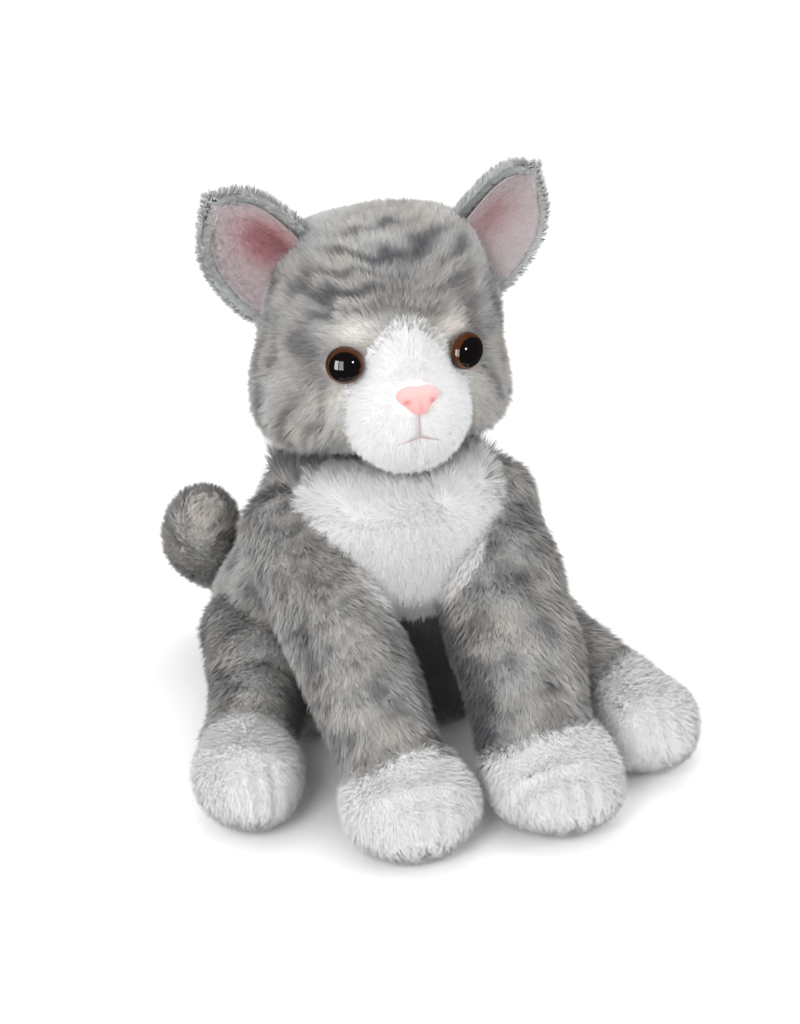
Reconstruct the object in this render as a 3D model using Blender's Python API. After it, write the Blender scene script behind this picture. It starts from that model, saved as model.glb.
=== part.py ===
# Sitting plush cat: sewn pile covers, fibre fillings, safety eyes, moulded nose, floppy limbs.
# Frame: metres, +Z up, the cat faces -Y, its own right side is -X, it sits on the plane z = 0.
import bpy
import bmesh
import math
import numpy as np

# ---------------------------------------------------------------- overall sizes
HEAD_HALF_WIDTH = 0.0610
HEAD_HALF_DEPTH = 0.0460
HEAD_HALF_HEIGHT = 0.0600
HEAD_CENTRE_Y = 0.0040
NECK_BALL_RADIUS = 0.0550
MUZZLE_FORWARD = 0.0225
MUZZLE_DROP = 0.0300
MUZZLE_HALF_WIDTH = 0.0350
MUZZLE_HALF_DEPTH = 0.0335
MUZZLE_HALF_HEIGHT = 0.0280
CHEEK_OUT = 0.0230
CHEEK_DROP = 0.0250
CHEEK_HALF_WIDTH = 0.0400
CHEEK_HALF_DEPTH = 0.0400
CHEEK_HALF_HEIGHT = 0.0310
TORSO_HEIGHT = 0.1400
TORSO_HALF_WIDTH = 0.0820
TORSO_FRONT = 0.0500
TORSO_BACK = 0.0880
FORELEG_RADIUS = 0.0290
FORELEG_ROOT_RADIUS = 0.0240
FOREPAW_HALF_WIDTH = 0.0335
FORELEG_SWAY = 0.0040
FOREPAW_HALF_HEIGHT = 0.0220
HINDLEG_RADIUS = 0.0260
HINDLEG_ROOT_RADIUS = 0.0300
HINDPAW_HALF_WIDTH = 0.0275
HINDPAW_HALF_HEIGHT = 0.0230
HINDLEG_REACH = 0.0080
TAIL_RADIUS = 0.0205
EAR_WIDTH = 0.0500
EAR_HEIGHT = 0.0450
EYE_DIAMETER = 0.0180
NOSE_WIDTH = 0.0210

# ---------------------------------------------------------------- cloth and clearances
COVER = 0.0045
PANEL = 0.0030
FIT_GAP = 0.0005
SEAM_GAP = 0.0006
PANEL_GAP = 0.0012
FACE_GAP = 0.0020
JOINT_GAP = 0.0018
NECK_LAYER = 0.0020
EAR_SEAM_GAP = 0.0022

# ---------------------------------------------------------------- joint travel, degrees
FORELEG_DOWN = 2.0
FORELEG_UP = 25.0
HINDLEG_OUT = 25.0
TAIL_IN = 3.0
TAIL_OUT = 30.0

# ---------------------------------------------------------------- derived places
NECK_GAP = 2.0 * PANEL_GAP + NECK_LAYER
HEAD_CENTRE = np.array([0.0, HEAD_CENTRE_Y, TORSO_HEIGHT + NECK_GAP + NECK_BALL_RADIUS])
TALL = TORSO_HEIGHT / 0.1400
LOW_FACE = NECK_BALL_RADIUS / 0.0550
SHOULDER = np.array([0.0520, -0.0100, 0.1080]) * [1.0, 1.0, TALL]
HIP = np.array([0.0590, 0.0160, 0.0400])
TAIL_ROOT = np.array([-0.0060, TORSO_BACK - 0.0140, 0.0340])

for old in list(bpy.data.objects):
    bpy.data.objects.remove(old, do_unlink=True)


# ---------------------------------------------------------------- materials
def material(name, colour, roughness, metallic=0.0):
    mat = bpy.data.materials.new(name)
    mat.use_nodes = True
    bsdf = mat.node_tree.nodes.get("Principled BSDF")
    bsdf.inputs["Base Color"].default_value = (*colour, 1.0)
    bsdf.inputs["Roughness"].default_value = roughness
    bsdf.inputs["Metallic"].default_value = metallic
    mat.diffuse_color = (*colour, 1.0)
    return mat


GREY_PILE = material("grey_tabby_pile", (0.32, 0.31, 0.30), 0.95)
WHITE_PILE = material("white_pile", (0.83, 0.83, 0.84), 0.95)
EAR_BACK_PILE = material("ear_back_pile", (0.38, 0.39, 0.39), 0.95)
EAR_VELOUR = material("ear_velour", (0.86, 0.62, 0.63), 0.9)
FIBRE = material("polyester_fibre", (0.92, 0.92, 0.90), 0.9)
POUCH_CLOTH = material("pouch_cloth", (0.80, 0.79, 0.74), 0.85)
NECK_CLOTH = material("neck_cloth", (0.40, 0.39, 0.38), 0.9)
LENS = material("eye_lens", (0.015, 0.010, 0.008), 0.05)
IRIS = material("eye_iris", (0.16, 0.07, 0.03), 0.35)
WASHER = material("washer_plastic", (0.85, 0.85, 0.83), 0.45)
NOSE_PINK = material("nose_pink", (0.86, 0.40, 0.40), 0.8)
THREAD = material("mouth_thread", (0.40, 0.26, 0.24), 0.8)


# ---------------------------------------------------------------- mesh helpers
def add_object(name, verts, faces, mat, smooth=60.0):
    mesh = bpy.data.meshes.new(name)
    bm = bmesh.new()
    made = [bm.verts.new(tuple(float(c) for c in v)) for v in verts]
    for face in faces:
        bm.faces.new([made[i] for i in face])
    bmesh.ops.remove_doubles(bm, verts=bm.verts, dist=1e-6)
    bmesh.ops.recalc_face_normals(bm, faces=bm.faces)
    bm.to_mesh(mesh)
    bm.free()
    mesh.materials.append(mat)
    ob = bpy.data.objects.new(name, mesh)
    bpy.context.scene.collection.objects.link(ob)
    mesh.shade_smooth()
    mesh.set_sharp_from_angle(angle=math.radians(smooth))
    return ob


def skin(rings, start=None, end=None, cyclic=False, back=None):
    """Closed surface running through rings of equal length.

    From ring number back on the surface runs the other way, as the inside of a cover
    does; its triangles are split the other way round so that inside and outside match."""
    n = len(rings[0])
    verts = [p for ring in rings for p in ring]
    faces = []
    count = len(rings)
    last = count if cyclic else count - 1
    back = count if back is None else back
    for i in range(last):
        a = i * n
        b = ((i + 1) % count) * n
        for j in range(n):
            k = (j + 1) % n
            if i < back:
                faces += [(a + j, a + k, b + k), (a + j, b + k, b + j)]
            else:
                faces += [(a + j, a + k, b + j), (a + k, b + k, b + j)]
    if start is not None:
        verts.append(start)
        c = len(verts) - 1
        faces += [(c, (j + 1) % n, j) for j in range(n)]
    if end is not None:
        verts.append(end)
        c = len(verts) - 1
        a = (count - 1) * n
        faces += [(c, a + j, a + (j + 1) % n) for j in range(n)]
    return verts, faces


def slab(outer, inner):
    """A closed sheet between two grids of points; each grid is rows x columns."""
    rows, cols = outer.shape[:2]
    verts = list(outer.reshape(-1, 3)) + list(inner.reshape(-1, 3))
    base = rows * cols
    faces = []
    for r in range(rows - 1):
        for c in range(cols - 1):
            a = r * cols + c
            faces.append((a, a + 1, a + cols + 1, a + cols))
            faces.append((base + a, base + a + cols, base + a + cols + 1, base + a + 1))
    edge = [(0, c) for c in range(cols)] + [(r, cols - 1) for r in range(1, rows)]
    edge += [(rows - 1, c) for c in range(cols - 2, -1, -1)] + [(r, 0) for r in range(rows - 2, 0, -1)]
    loop = [r * cols + c for r, c in edge]
    for i, a in enumerate(loop):
        b = loop[(i + 1) % len(loop)]
        faces.append((a, base + a, base + b, b))
    return verts, faces


def smooth_step(value, low, high):
    t = np.clip((value - low) / (high - low), 0.0, 1.0)
    return t * t * (3.0 - 2.0 * t)


def spline(stations, params):
    """Catmull-Rom samples through stations; params count stations from 0."""
    pts = np.array(stations, float)
    pts = np.vstack([2 * pts[0] - pts[1], pts, 2 * pts[-1] - pts[-2]])
    out = []
    for s in np.clip(params, 0.0, len(pts) - 3.0 - 1e-9):
        i = int(s)
        t = s - i
        a, b, c, d = pts[i:i + 4]
        out.append(0.5 * (2 * b + (c - a) * t + (2 * a - 5 * b + 4 * c - d) * t * t
                          + (3 * b - a - 3 * c + d) * t ** 3))
    return np.array(out)


def unit(v):
    return np.array(v, float) / np.linalg.norm(v)


def cut(ob, cutter):
    mod = ob.modifiers.new("cut", "BOOLEAN")
    mod.operation = "DIFFERENCE"
    mod.solver = "EXACT"
    mod.object = cutter


def join(ob, other):
    mod = ob.modifiers.new("join", "BOOLEAN")
    mod.operation = "UNION"
    mod.solver = "EXACT"
    mod.object = other


def as_cutter(ob):
    ob.hide_render = True
    ob.display_type = "WIRE"
    return ob


def ball_cutter(name, centre, radius, segments=32):
    rings = []
    for i in range(1, segments // 2):
        a = math.pi * i / (segments // 2)
        rings.append([centre + radius * np.array([math.sin(a) * math.cos(f), math.sin(a) * math.sin(f),
                                                  math.cos(a)])
                      for f in np.linspace(0, 2 * math.pi, segments, endpoint=False)])
    v, f = skin(rings, centre + [0, 0, radius], centre - [0, 0, radius])
    return as_cutter(add_object(name, v, f, FIBRE))


def cross_axes(axis):
    axis = unit(axis)
    side = unit(np.cross([0.0, 0.0, 1.0] if abs(axis[2]) < 0.9 else [0.0, 1.0, 0.0], axis))
    return side, np.cross(axis, side)


def turned(profile, centre, axis, segments=20):
    """Rings of a round part: profile gives (distance along the axis, radius)."""
    side, up = cross_axes(axis)
    axis = unit(axis)
    turns = np.linspace(0, 2 * math.pi, segments, endpoint=False)
    return [[centre + d * axis + r * (math.cos(f) * side + math.sin(f) * up) for f in turns]
            for d, r in profile]


def rod_cutter(name, centre, axis, radius, low, high, segments=20):
    v, f = skin(turned([(low, radius), (high, radius)], centre, axis, segments),
                centre + low * unit(axis), centre + high * unit(axis))
    return as_cutter(add_object(name, v, f, FIBRE))


# ---------------------------------------------------------------- head surface
def lobe(u, centre, size):
    """Far crossing of the ray u from the head centre with an ellipsoid, or 0."""
    c = np.array(centre) / size
    d = np.array(u) / size
    dd, dc, cc = d @ d, d @ c, c @ c
    root = dc * dc - dd * (cc - 1.0)
    return (dc + math.sqrt(root)) / dd if root > 0.0 else 0.0


def swell(low, high, blend=0.010):
    """The larger of two radii, with the crease between them rounded."""
    h = max(blend - abs(low - high), 0.0) / blend
    return max(low, high) + h * h * blend * 0.25


def head_radius(u):
    """Distance from the head centre to the cloth in direction u."""
    egg = 1.0 / math.sqrt((u[0] / HEAD_HALF_WIDTH) ** 2 + (u[1] / HEAD_HALF_DEPTH) ** 2
                          + (u[2] / HEAD_HALF_HEIGHT) ** 2)
    low = float(smooth_step(-u[2], 0.45, 0.85))
    egg = egg * (1.0 - low) + NECK_BALL_RADIUS * low
    from_pole = math.acos(max(-1.0, min(1.0, -u[2])))
    clear = float(smooth_step(from_pole, math.radians(24), math.radians(38)))
    cheek = lobe([abs(u[0]), u[1], u[2]], [CHEEK_OUT, 0.002, -CHEEK_DROP * LOW_FACE],
                 [CHEEK_HALF_WIDTH, CHEEK_HALF_DEPTH, CHEEK_HALF_HEIGHT * LOW_FACE])
    full = swell(egg, cheek)
    if u[1] < 0.0:
        full = swell(full, lobe(u, [0.0, -MUZZLE_FORWARD, -MUZZLE_DROP * LOW_FACE],
                                [MUZZLE_HALF_WIDTH, MUZZLE_HALF_DEPTH, MUZZLE_HALF_HEIGHT * LOW_FACE]))
    return egg + (full - egg) * clear


def head_point(u, lift=0.0):
    u = unit(u)
    return HEAD_CENTRE + u * (head_radius(u) + lift)


def head_normal(u, step=0.06):
    """Outward normal of the cloth in direction u, from neighbouring points."""
    side, up = cross_axes(u)
    across = head_point(u + side * step) - head_point(u - side * step)
    along = head_point(u + up * step) - head_point(u - up * step)
    normal = unit(np.cross(across, along))
    return normal if normal @ u > 0 else -normal


def head_rings(lift, turns, tilts):
    return [[head_point([math.sin(a) * math.sin(f), -math.sin(a) * math.cos(f), math.cos(a)], lift)
             for f in turns] for a in tilts]


HEAD_TURNS = np.linspace(0, 2 * math.pi, 26, endpoint=False)
HEAD_TILTS = np.radians(np.concatenate([np.linspace(12, 150, 13), [161.0]]))

outer = head_rings(0.0, HEAD_TURNS, HEAD_TILTS)
inner = head_rings(-COVER, HEAD_TURNS, HEAD_TILTS)
verts, faces = skin(outer + inner[::-1], head_point([0, 0, 1]), head_point([0, 0, 1], -COVER),
                    back=len(outer))
head_cover = add_object("head_cover", verts, faces, GREY_PILE)
stuff = -COVER - FIT_GAP
verts, faces = skin(head_rings(stuff, HEAD_TURNS, HEAD_TILTS), head_point([0, 0, 1], stuff),
                    head_point([0, 0, -1], stuff))
head_filling = add_object("head_filling", verts, faces, FIBRE)

# white face panel: one blaze, muzzle and chin piece laid over the head cover
MUZZLE_AXIS = unit([0.0, -0.0600, -0.0270])


def face_direction(spread, turn):
    """Direction at an angle from the muzzle axis; turn 0 points up the forehead."""
    up = unit(np.array([0.0, 0.0, 1.0]) - MUZZLE_AXIS * MUZZLE_AXIS[2])
    side = np.array([1.0, 0.0, 0.0])
    radial = math.cos(turn) * up + math.sin(turn) * side
    return math.cos(spread) * MUZZLE_AXIS + math.sin(spread) * radial


def panel_reach(turn):
    """Angular reach of the white panel: a blaze upward, full cheeks, a short chin."""
    blaze = 10.5 * math.exp(-(math.atan2(math.sin(turn), math.cos(turn)) / 0.42) ** 2)
    return math.radians(33.5 + blaze)


PANEL_TURNS = np.linspace(0, 2 * math.pi, 26, endpoint=False)
PANEL_STEPS = (0.16, 0.36, 0.56, 0.76, 1.0)


def panel_rings(lift, edge_lift):
    rings = []
    for step in PANEL_STEPS:
        up = edge_lift if step == 1.0 else lift
        rings.append([head_point(face_direction(panel_reach(f) * step, f), up) for f in PANEL_TURNS])
    return rings


top = panel_rings(FACE_GAP + PANEL, FACE_GAP + 0.6 * PANEL)
under = panel_rings(FACE_GAP, FACE_GAP)
verts, faces = skin(top + under[::-1], head_point(MUZZLE_AXIS, FACE_GAP + PANEL),
                    head_point(MUZZLE_AXIS, FACE_GAP))
muzzle_panel = add_object("muzzle_panel", verts, faces, WHITE_PILE)

# ---------------------------------------------------------------- eyes and nose
EYE_RADIUS = EYE_DIAMETER / 2
SHANK_RADIUS = 0.0024
SHANK_LENGTH = 0.0110
SOCKET_DEPTH = 0.0026
EYE_FLANGE = 0.0012

for side, label in ((-1, "right"), (1, "left")):
    look = unit([side * 0.600, -0.790, -0.030])
    seat = head_point(look) - look * SOCKET_DEPTH
    axis = unit([side * 0.40, -0.915, 0.03])
    step = [(-0.0200, SHANK_RADIUS + 0.0006), (-0.0002, SHANK_RADIUS + 0.0006),
            (-0.0002, EYE_RADIUS + 0.0009), (0.0200, EYE_RADIUS + 0.0009)]
    shape = skin(turned(step, seat, axis, 18), seat - axis * 0.0200, seat + axis * 0.0200)
    socket = as_cutter(add_object("eye_socket_" + label, *shape, FIBRE))
    cut(head_cover, socket)
    cut(muzzle_panel, socket)
    cut(head_filling, rod_cutter("eye_room_" + label, seat, axis, 0.0086, -0.0150, 0.0200, 16))
    dome = [(EYE_FLANGE + FIT_GAP + 0.0062 * math.sin(a), EYE_RADIUS * math.cos(a))
            for a in np.radians([0, 22, 45, 68])]
    verts, faces = skin(turned(dome, seat, axis, 20), seat + axis * (EYE_FLANGE + FIT_GAP),
                        seat + axis * (EYE_FLANGE + FIT_GAP + 0.0062))
    add_object("eye_lens_" + label, verts, faces, LENS)
    stem = [(0.0, SHANK_RADIUS), (0.0, EYE_RADIUS), (EYE_FLANGE, EYE_RADIUS)]
    stem = [(-SHANK_LENGTH, SHANK_RADIUS)] + stem
    verts, faces = skin(turned(stem, seat + axis * 0.0004, axis, 20), seat + axis * (0.0004 - SHANK_LENGTH),
                        seat + axis * (EYE_FLANGE + 0.0004))
    add_object("eye_iris_" + label, verts, faces, IRIS, 30.0)
    ring = [(-0.0085, SHANK_RADIUS + FIT_GAP), (-0.0085, 0.0070), (-0.0070, 0.0070),
            (-0.0070, SHANK_RADIUS + FIT_GAP)]
    verts, faces = skin(turned(ring, seat, axis, 16), cyclic=True)
    add_object("eye_washer_" + label, verts, faces, WASHER, 30.0)

NOSE_LOOK = unit([0.0, -0.0600, -0.0158])
nose_seat = head_point(NOSE_LOOK, FACE_GAP + PANEL + 0.0003)
nose_axis = head_normal(NOSE_LOOK)
nose_side, nose_up = np.array([-1.0, 0.0, 0.0]), unit(np.cross([-1.0, 0.0, 0.0], nose_axis))
if nose_up[2] < 0:
    nose_up = -nose_up


def nose_outline(scale, depth):
    """Rounded triangle with two side lobes: wide above, narrow below."""
    ring = []
    for f in np.linspace(0, 2 * math.pi, 24, endpoint=False):
        s, c = math.sin(f), math.cos(f)
        wide = 0.5 * NOSE_WIDTH * (1.0 - 0.34 * smooth_step(-c, -0.15, 0.75))
        high = NOSE_WIDTH * (0.27 if c > 0 else 0.40)
        notch = 1.0 - 0.10 * math.exp(-((abs(s) - 0.86) / 0.16) ** 2) * (1.0 if c < -0.1 else 0.0)
        dip = 1.0 - 0.10 * math.exp(-(s / 0.22) ** 2) * (1.0 if c > 0 else 0.0)
        x = wide * math.copysign(abs(s) ** 0.85, s) * notch * scale
        y = high * math.copysign(abs(c) ** 0.9, c) * dip * scale
        ring.append(nose_seat + nose_side * x + nose_up * y + nose_axis * depth)
    return ring


NOSE_DEPTH = 0.0052
nose_shape = [nose_outline(0.86, 0.0008), nose_outline(1.0, 0.0022), nose_outline(0.93, 0.0038),
              nose_outline(0.70, NOSE_DEPTH), nose_outline(0.35, NOSE_DEPTH + 0.0006)]
verts, faces = skin(nose_shape, nose_seat + nose_axis * 0.0008, nose_seat + nose_axis * (NOSE_DEPTH + 0.0007))
nose = add_object("nose", verts, faces, NOSE_PINK)
nose_shank_back = nose_seat - nose_axis * 0.0180
shank = skin(turned([(-0.0180, SHANK_RADIUS), (0.0030, SHANK_RADIUS)], nose_seat, nose_axis, 16),
             nose_shank_back, nose_seat + nose_axis * 0.0030)
join(nose, as_cutter(add_object("nose_shank", *shank, NOSE_PINK)))
hole = rod_cutter("nose_hole", nose_seat, nose_axis, SHANK_RADIUS + 0.0006, -0.0260, 0.0080, 16)
cut(muzzle_panel, hole)
cut(head_cover, hole)
cut(head_filling, rod_cutter("nose_room", nose_seat, nose_axis, 0.0086, -0.0205, 0.0080, 20))
ring = [(-0.0155, SHANK_RADIUS + FIT_GAP), (-0.0155, 0.0070), (-0.0140, 0.0070),
        (-0.0140, SHANK_RADIUS + FIT_GAP)]
verts, faces = skin(turned(ring, nose_seat, nose_axis, 16), cyclic=True)
add_object("nose_washer", verts, faces, WASHER, 30.0)

# mouth: one embroidered thread, an upright stroke and two arms
THREAD_RADIUS = 0.0007
MOUTH_DROP = 0.0325
THREAD_LIFT = FACE_GAP + PANEL + THREAD_RADIUS + 0.0005


def thread(name, path):
    pts = [head_point(p, THREAD_LIFT) for p in path]
    rings = []
    for i, p in enumerate(pts):
        along = unit(pts[min(i + 1, len(pts) - 1)] - pts[max(i - 1, 0)])
        rings.append(turned([(0.0, THREAD_RADIUS)], p, along, 8)[0])
    v, f = skin(rings, pts[0], pts[-1])
    return add_object(name, v, f, THREAD)


def face_place(x, drop):
    return np.array([x, -0.0600, -drop])


arms = [face_place(x, MOUTH_DROP + 0.0036 * (abs(x) / 0.0090) ** 1.3)
        for x in np.linspace(-0.0095, 0.0095, 11)]
mouth = thread("mouth_stitch", arms)
stroke = thread("mouth_stroke", [face_place(0.0, d) for d in np.linspace(0.0235, MOUTH_DROP, 6)])
join(mouth, as_cutter(stroke))

# ---------------------------------------------------------------- ears
EAR_CUP = 0.0110
EAR_THICK = 0.0034
EAR_LINING = 0.0016


def ear_frame(side):
    mid_dir = unit([side * 0.0500, 0.0040, 0.0330])
    across = unit([side * 0.0330, 0.0060, -0.0390])
    up = unit(mid_dir - across * (mid_dir @ across))
    up = unit(up + np.array([0.0, -0.10, 0.0]))
    up = unit(up - across * (up @ across))
    front = np.cross(across, up)
    if front[1] > 0:
        front = -front
    return head_point(mid_dir, EAR_SEAM_GAP), across, up, front


def above_head(point, up):
    """Distance along up from point to EAR_SEAM_GAP above the head cover."""
    low, high = -0.030, 0.030
    for _ in range(30):
        mid = 0.5 * (low + high)
        q = point + up * mid - HEAD_CENTRE
        if np.linalg.norm(q) > head_radius(unit(q)) + EAR_SEAM_GAP:
            high = mid
        else:
            low = mid
    return high


def ear_sheet(side, trim, near, far, base_lift, rows=7, cols=8):
    root, across, up, front = ear_frame(side)
    grids = []
    lean = -0.0075
    for depth in (near, far):
        grid = np.zeros((rows, cols, 3))
        for r in range(rows):
            t = r / (rows - 1)
            full = (1.0 + 0.17 * t) * (1.0 - t ** 3.0) ** 0.52
            half = max(0.5 * EAR_WIDTH * full, 0.0030) * trim
            for c in range(cols):
                s = 2.0 * c / (cols - 1) - 1.0
                wide = s * half
                fold = EAR_CUP * (abs(s) ** 2.2) * (1.0 - 0.55 * t) * (half / (0.5 * EAR_WIDTH))
                place = root + across * (wide + lean * t * t) + front * (fold + depth - EAR_CUP * 0.35)
                base = above_head(place, up) + base_lift
                height = EAR_HEIGHT * (1.0 - 0.5 * (1.0 - trim)) * (1.0 - 0.10 * s * s * t)
                grid[r, c] = place + up * (base + (height - base) * t)
        grids.append(grid)
    return slab(grids[0], grids[1])


for side, label in ((-1, "right"), (1, "left")):
    add_object("ear_back_" + label, *ear_sheet(side, 1.0, 0.0, -EAR_THICK, 0.0), EAR_BACK_PILE, 80.0)
    near_face = FIT_GAP + 0.0005
    sheet = ear_sheet(side, 0.86, EAR_LINING + near_face, near_face, 0.0012)
    add_object("ear_lining_" + label, *sheet, EAR_VELOUR, 80.0)

# ---------------------------------------------------------------- neck closing piece
layer = []
NECK_TILTS = np.radians([6.5, 13.0])
for radius, tilts in ((NECK_BALL_RADIUS + PANEL_GAP + NECK_LAYER, NECK_TILTS),
                      (NECK_BALL_RADIUS + PANEL_GAP, NECK_TILTS[::-1])):
    for a in tilts:
        layer.append([HEAD_CENTRE + radius * np.array([math.sin(a) * math.cos(f), math.sin(a) * math.sin(f),
                                                       -math.cos(a)])
                      for f in np.linspace(0, 2 * math.pi, 18, endpoint=False)])
verts, faces = skin(layer, HEAD_CENTRE - [0, 0, NECK_BALL_RADIUS + PANEL_GAP + NECK_LAYER],
                    HEAD_CENTRE - [0, 0, NECK_BALL_RADIUS + PANEL_GAP])
add_object("neck_panel", verts, faces, NECK_CLOTH)

# ---------------------------------------------------------------- torso
# stations: height share, half width share, front share, back share, fore-and-aft tilt, rise of the sides
TORSO_STATIONS = [
    (0.000, 0.66, 0.60, 0.72, 0.00, 0.000),
    (0.030, 0.80, 0.76, 0.84, 0.00, 0.000),
    (0.110, 0.94, 0.90, 0.96, 0.00, 0.000),
    (0.250, 1.00, 0.94, 1.00, 0.00, 0.000),
    (0.410, 0.97, 0.94, 0.95, 0.00, 0.000),
    (0.570, 0.87, 0.98, 0.82, 0.00, 0.000),
    (0.720, 0.76, 1.00, 0.68, 0.00, 0.000),
    (0.840, 0.69, 1.00, 0.58, 0.06, 0.001),
    (0.940, 0.64, 0.92, 0.52, 0.15, -0.004),
    (1.010, 0.50, 0.72, 0.43, 0.22, -0.005),
]
TORSO_TOP = 1.010
TORSO_TURNS = np.linspace(0, 2 * math.pi, 24, endpoint=False)
TORSO_RIM = 0.0170
RIM_SHARE = 1.000


def torso_ring(station, inset):
    height, width, front, back, tilt, rise = station
    half = TORSO_HALF_WIDTH * width - inset
    near = -TORSO_FRONT * front + inset
    far = TORSO_BACK * back - inset
    mid, deep = 0.5 * (near + far), 0.5 * (far - near)
    z = min(max(TORSO_HEIGHT * height, inset), TORSO_HEIGHT * TORSO_TOP - inset)
    ring = []
    for f in TORSO_TURNS:
        x = half * math.copysign(abs(math.sin(f)) ** 0.92, math.sin(f))
        y = mid - deep * math.copysign(abs(math.cos(f)) ** 0.92, math.cos(f))
        ring.append(np.array([x, y, z + tilt * (y - HEAD_CENTRE_Y) + rise * math.sin(f) ** 2]))
    return ring


def rim_ring(inset):
    """Edge of the neck opening, on the slope of the topmost ring."""
    z = TORSO_HEIGHT * RIM_SHARE - inset
    tilt = TORSO_STATIONS[-1][4]
    return [np.array([TORSO_RIM * math.sin(f), HEAD_CENTRE_Y - TORSO_RIM * math.cos(f),
                      z - tilt * TORSO_RIM * math.cos(f)]) for f in TORSO_TURNS]


outer = [torso_ring(s, 0.0) for s in TORSO_STATIONS] + [rim_ring(0.0)]
inner = [torso_ring(s, COVER) for s in TORSO_STATIONS] + [rim_ring(COVER)]
bottom = np.array([0.0, 0.5 * (0.72 * TORSO_BACK - 0.60 * TORSO_FRONT), 0.0])
verts, faces = skin(outer + inner[::-1], bottom, bottom + [0, 0, COVER], back=len(outer))
torso_cover = add_object("torso_cover", verts, faces, GREY_PILE)
stuffed = COVER + FIT_GAP
verts, faces = skin([torso_ring(s, stuffed) for s in TORSO_STATIONS] + [rim_ring(stuffed)],
                    bottom + [0, 0, stuffed],
                    np.array([0, HEAD_CENTRE_Y, TORSO_HEIGHT * RIM_SHARE - stuffed]))
torso_filling = add_object("torso_filling", verts, faces, FIBRE)

saucer = ball_cutter("saucer", HEAD_CENTRE, NECK_BALL_RADIUS + NECK_GAP, 28)
cut(torso_cover, saucer)

# bag of plastic pellets that weights the seat, lying on the bottom cloth
POUCH_HALF = (0.0290, 0.0330)
POUCH_HEIGHT = 0.0210
pouch_floor = COVER + FIT_GAP


def pouch_rings(grow):
    shape = ((0.80, 0.0), (1.0, 0.22), (1.0, 0.60), (0.84, 0.88), (0.45, 1.0))
    return [[np.array([(POUCH_HALF[0] * k + grow) * math.sin(f),
                       bottom[1] - (POUCH_HALF[1] * k + grow) * math.cos(f),
                       pouch_floor + POUCH_HEIGHT * h + grow * (1.0 if h > 0.5 else -1.0)])
             for f in np.linspace(0, 2 * math.pi, 18, endpoint=False)] for k, h in shape]


verts, faces = skin(pouch_rings(0.0), bottom + [0, 0, pouch_floor],
                    bottom + [0, 0, pouch_floor + POUCH_HEIGHT])
add_object("pellet_pouch", verts, faces, POUCH_CLOTH)
room = pouch_rings(0.0008)
room[0] = [p - np.array([0, 0, 0.010]) for p in room[1]]
verts, faces = skin(room, bottom - [0, 0, 0.010], bottom + [0, 0, pouch_floor + POUCH_HEIGHT + 0.0010])
cut(torso_filling, as_cutter(add_object("pouch_room", verts, faces, FIBRE)))

# white chest bib laid over the torso cover
BIB_TOP = 0.925
BIB_LOW = 0.56


def torso_at(share, f, lift):
    heights = [s[0] for s in TORSO_STATIONS]
    station = [float(np.interp(share, heights, [s[k] for s in TORSO_STATIONS])) for k in range(6)]
    half = TORSO_HALF_WIDTH * station[1] + lift
    near = -TORSO_FRONT * station[2] - lift
    far = TORSO_BACK * station[3] + lift
    mid, deep = 0.5 * (near + far), 0.5 * (far - near)
    x = half * math.copysign(abs(math.sin(f)) ** 0.92, math.sin(f))
    y = mid - deep * math.copysign(abs(math.cos(f)) ** 0.92, math.cos(f))
    z = TORSO_HEIGHT * share + station[4] * (y - HEAD_CENTRE_Y) + station[5] * math.sin(f) ** 2
    return np.array([x, y, z])


def bib_grid(lift):
    grid = np.zeros((8, 11, 3))
    for r in range(8):
        t = r / 7
        share = BIB_TOP + (BIB_LOW - BIB_TOP) * t
        spread = 0.70 * math.sqrt(max(1.0 - t ** 2.2, 0.012)) * (0.86 + 0.14 * smooth_step(t, 0.0, 0.2))
        for c in range(11):
            grid[r, c] = torso_at(share, spread * (2.0 * c / 10 - 1.0), lift)
    return grid


chest_bib = add_object("chest_bib", *slab(bib_grid(PANEL_GAP + PANEL), bib_grid(PANEL_GAP)), WHITE_PILE, 80.0)


# ---------------------------------------------------------------- limbs
SEGMENTS = 16
ROOT_ANGLES = (22.0, 44.0, 67.0)
ROOT_INNER_ANGLES = (28.0, 46.0, 67.0)
SIDEWAYS = (1.0, 0.0, 0.0)
UPWARD = (0.0, 0.0, 1.0)


def limb_rings(stations, params, grow=0.0, lateral=SIDEWAYS, shift=0.0):
    """Oval rings square to a smooth centre line; stations are x, y, z, half width, half height."""
    line = spline(stations, params)
    before = spline(stations, np.array(params) - 0.05)
    after = spline(stations, np.array(params) + 0.05)
    turns = np.linspace(0, 2 * math.pi, SEGMENTS, endpoint=False)
    floor = -grow
    rings = []
    for i, p in enumerate(line):
        along = unit(after[i][:3] - before[i][:3])
        side = unit(np.array(lateral) - along * (np.array(lateral) @ along))
        up = np.cross(side, along)
        push = along * shift if i == 0 else 0.0 * along
        ring = []
        for f in turns:
            q = p[:3] + (p[3] + grow) * math.cos(f) * side + (p[4] + grow) * math.sin(f) * up + push
            q[2] = max(q[2], floor)
            ring.append(q)
        rings.append(ring)
    return rings, line


def root_rings(centre, radius, along, angles, lateral=SIDEWAYS):
    along = unit(along)
    side = unit(np.array(lateral) - along * (np.array(lateral) @ along))
    up = np.cross(side, along)
    turns = np.linspace(0, 2 * math.pi, SEGMENTS, endpoint=False)
    return [[centre - radius * math.cos(a) * along
             + radius * math.sin(a) * (math.cos(f) * side + math.sin(f) * up) for f in turns]
            for a in np.radians(angles)]


def first_direction(stations):
    line = spline(stations, [0.0, 0.1])
    return unit(line[1][:3] - line[0][:3])


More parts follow.
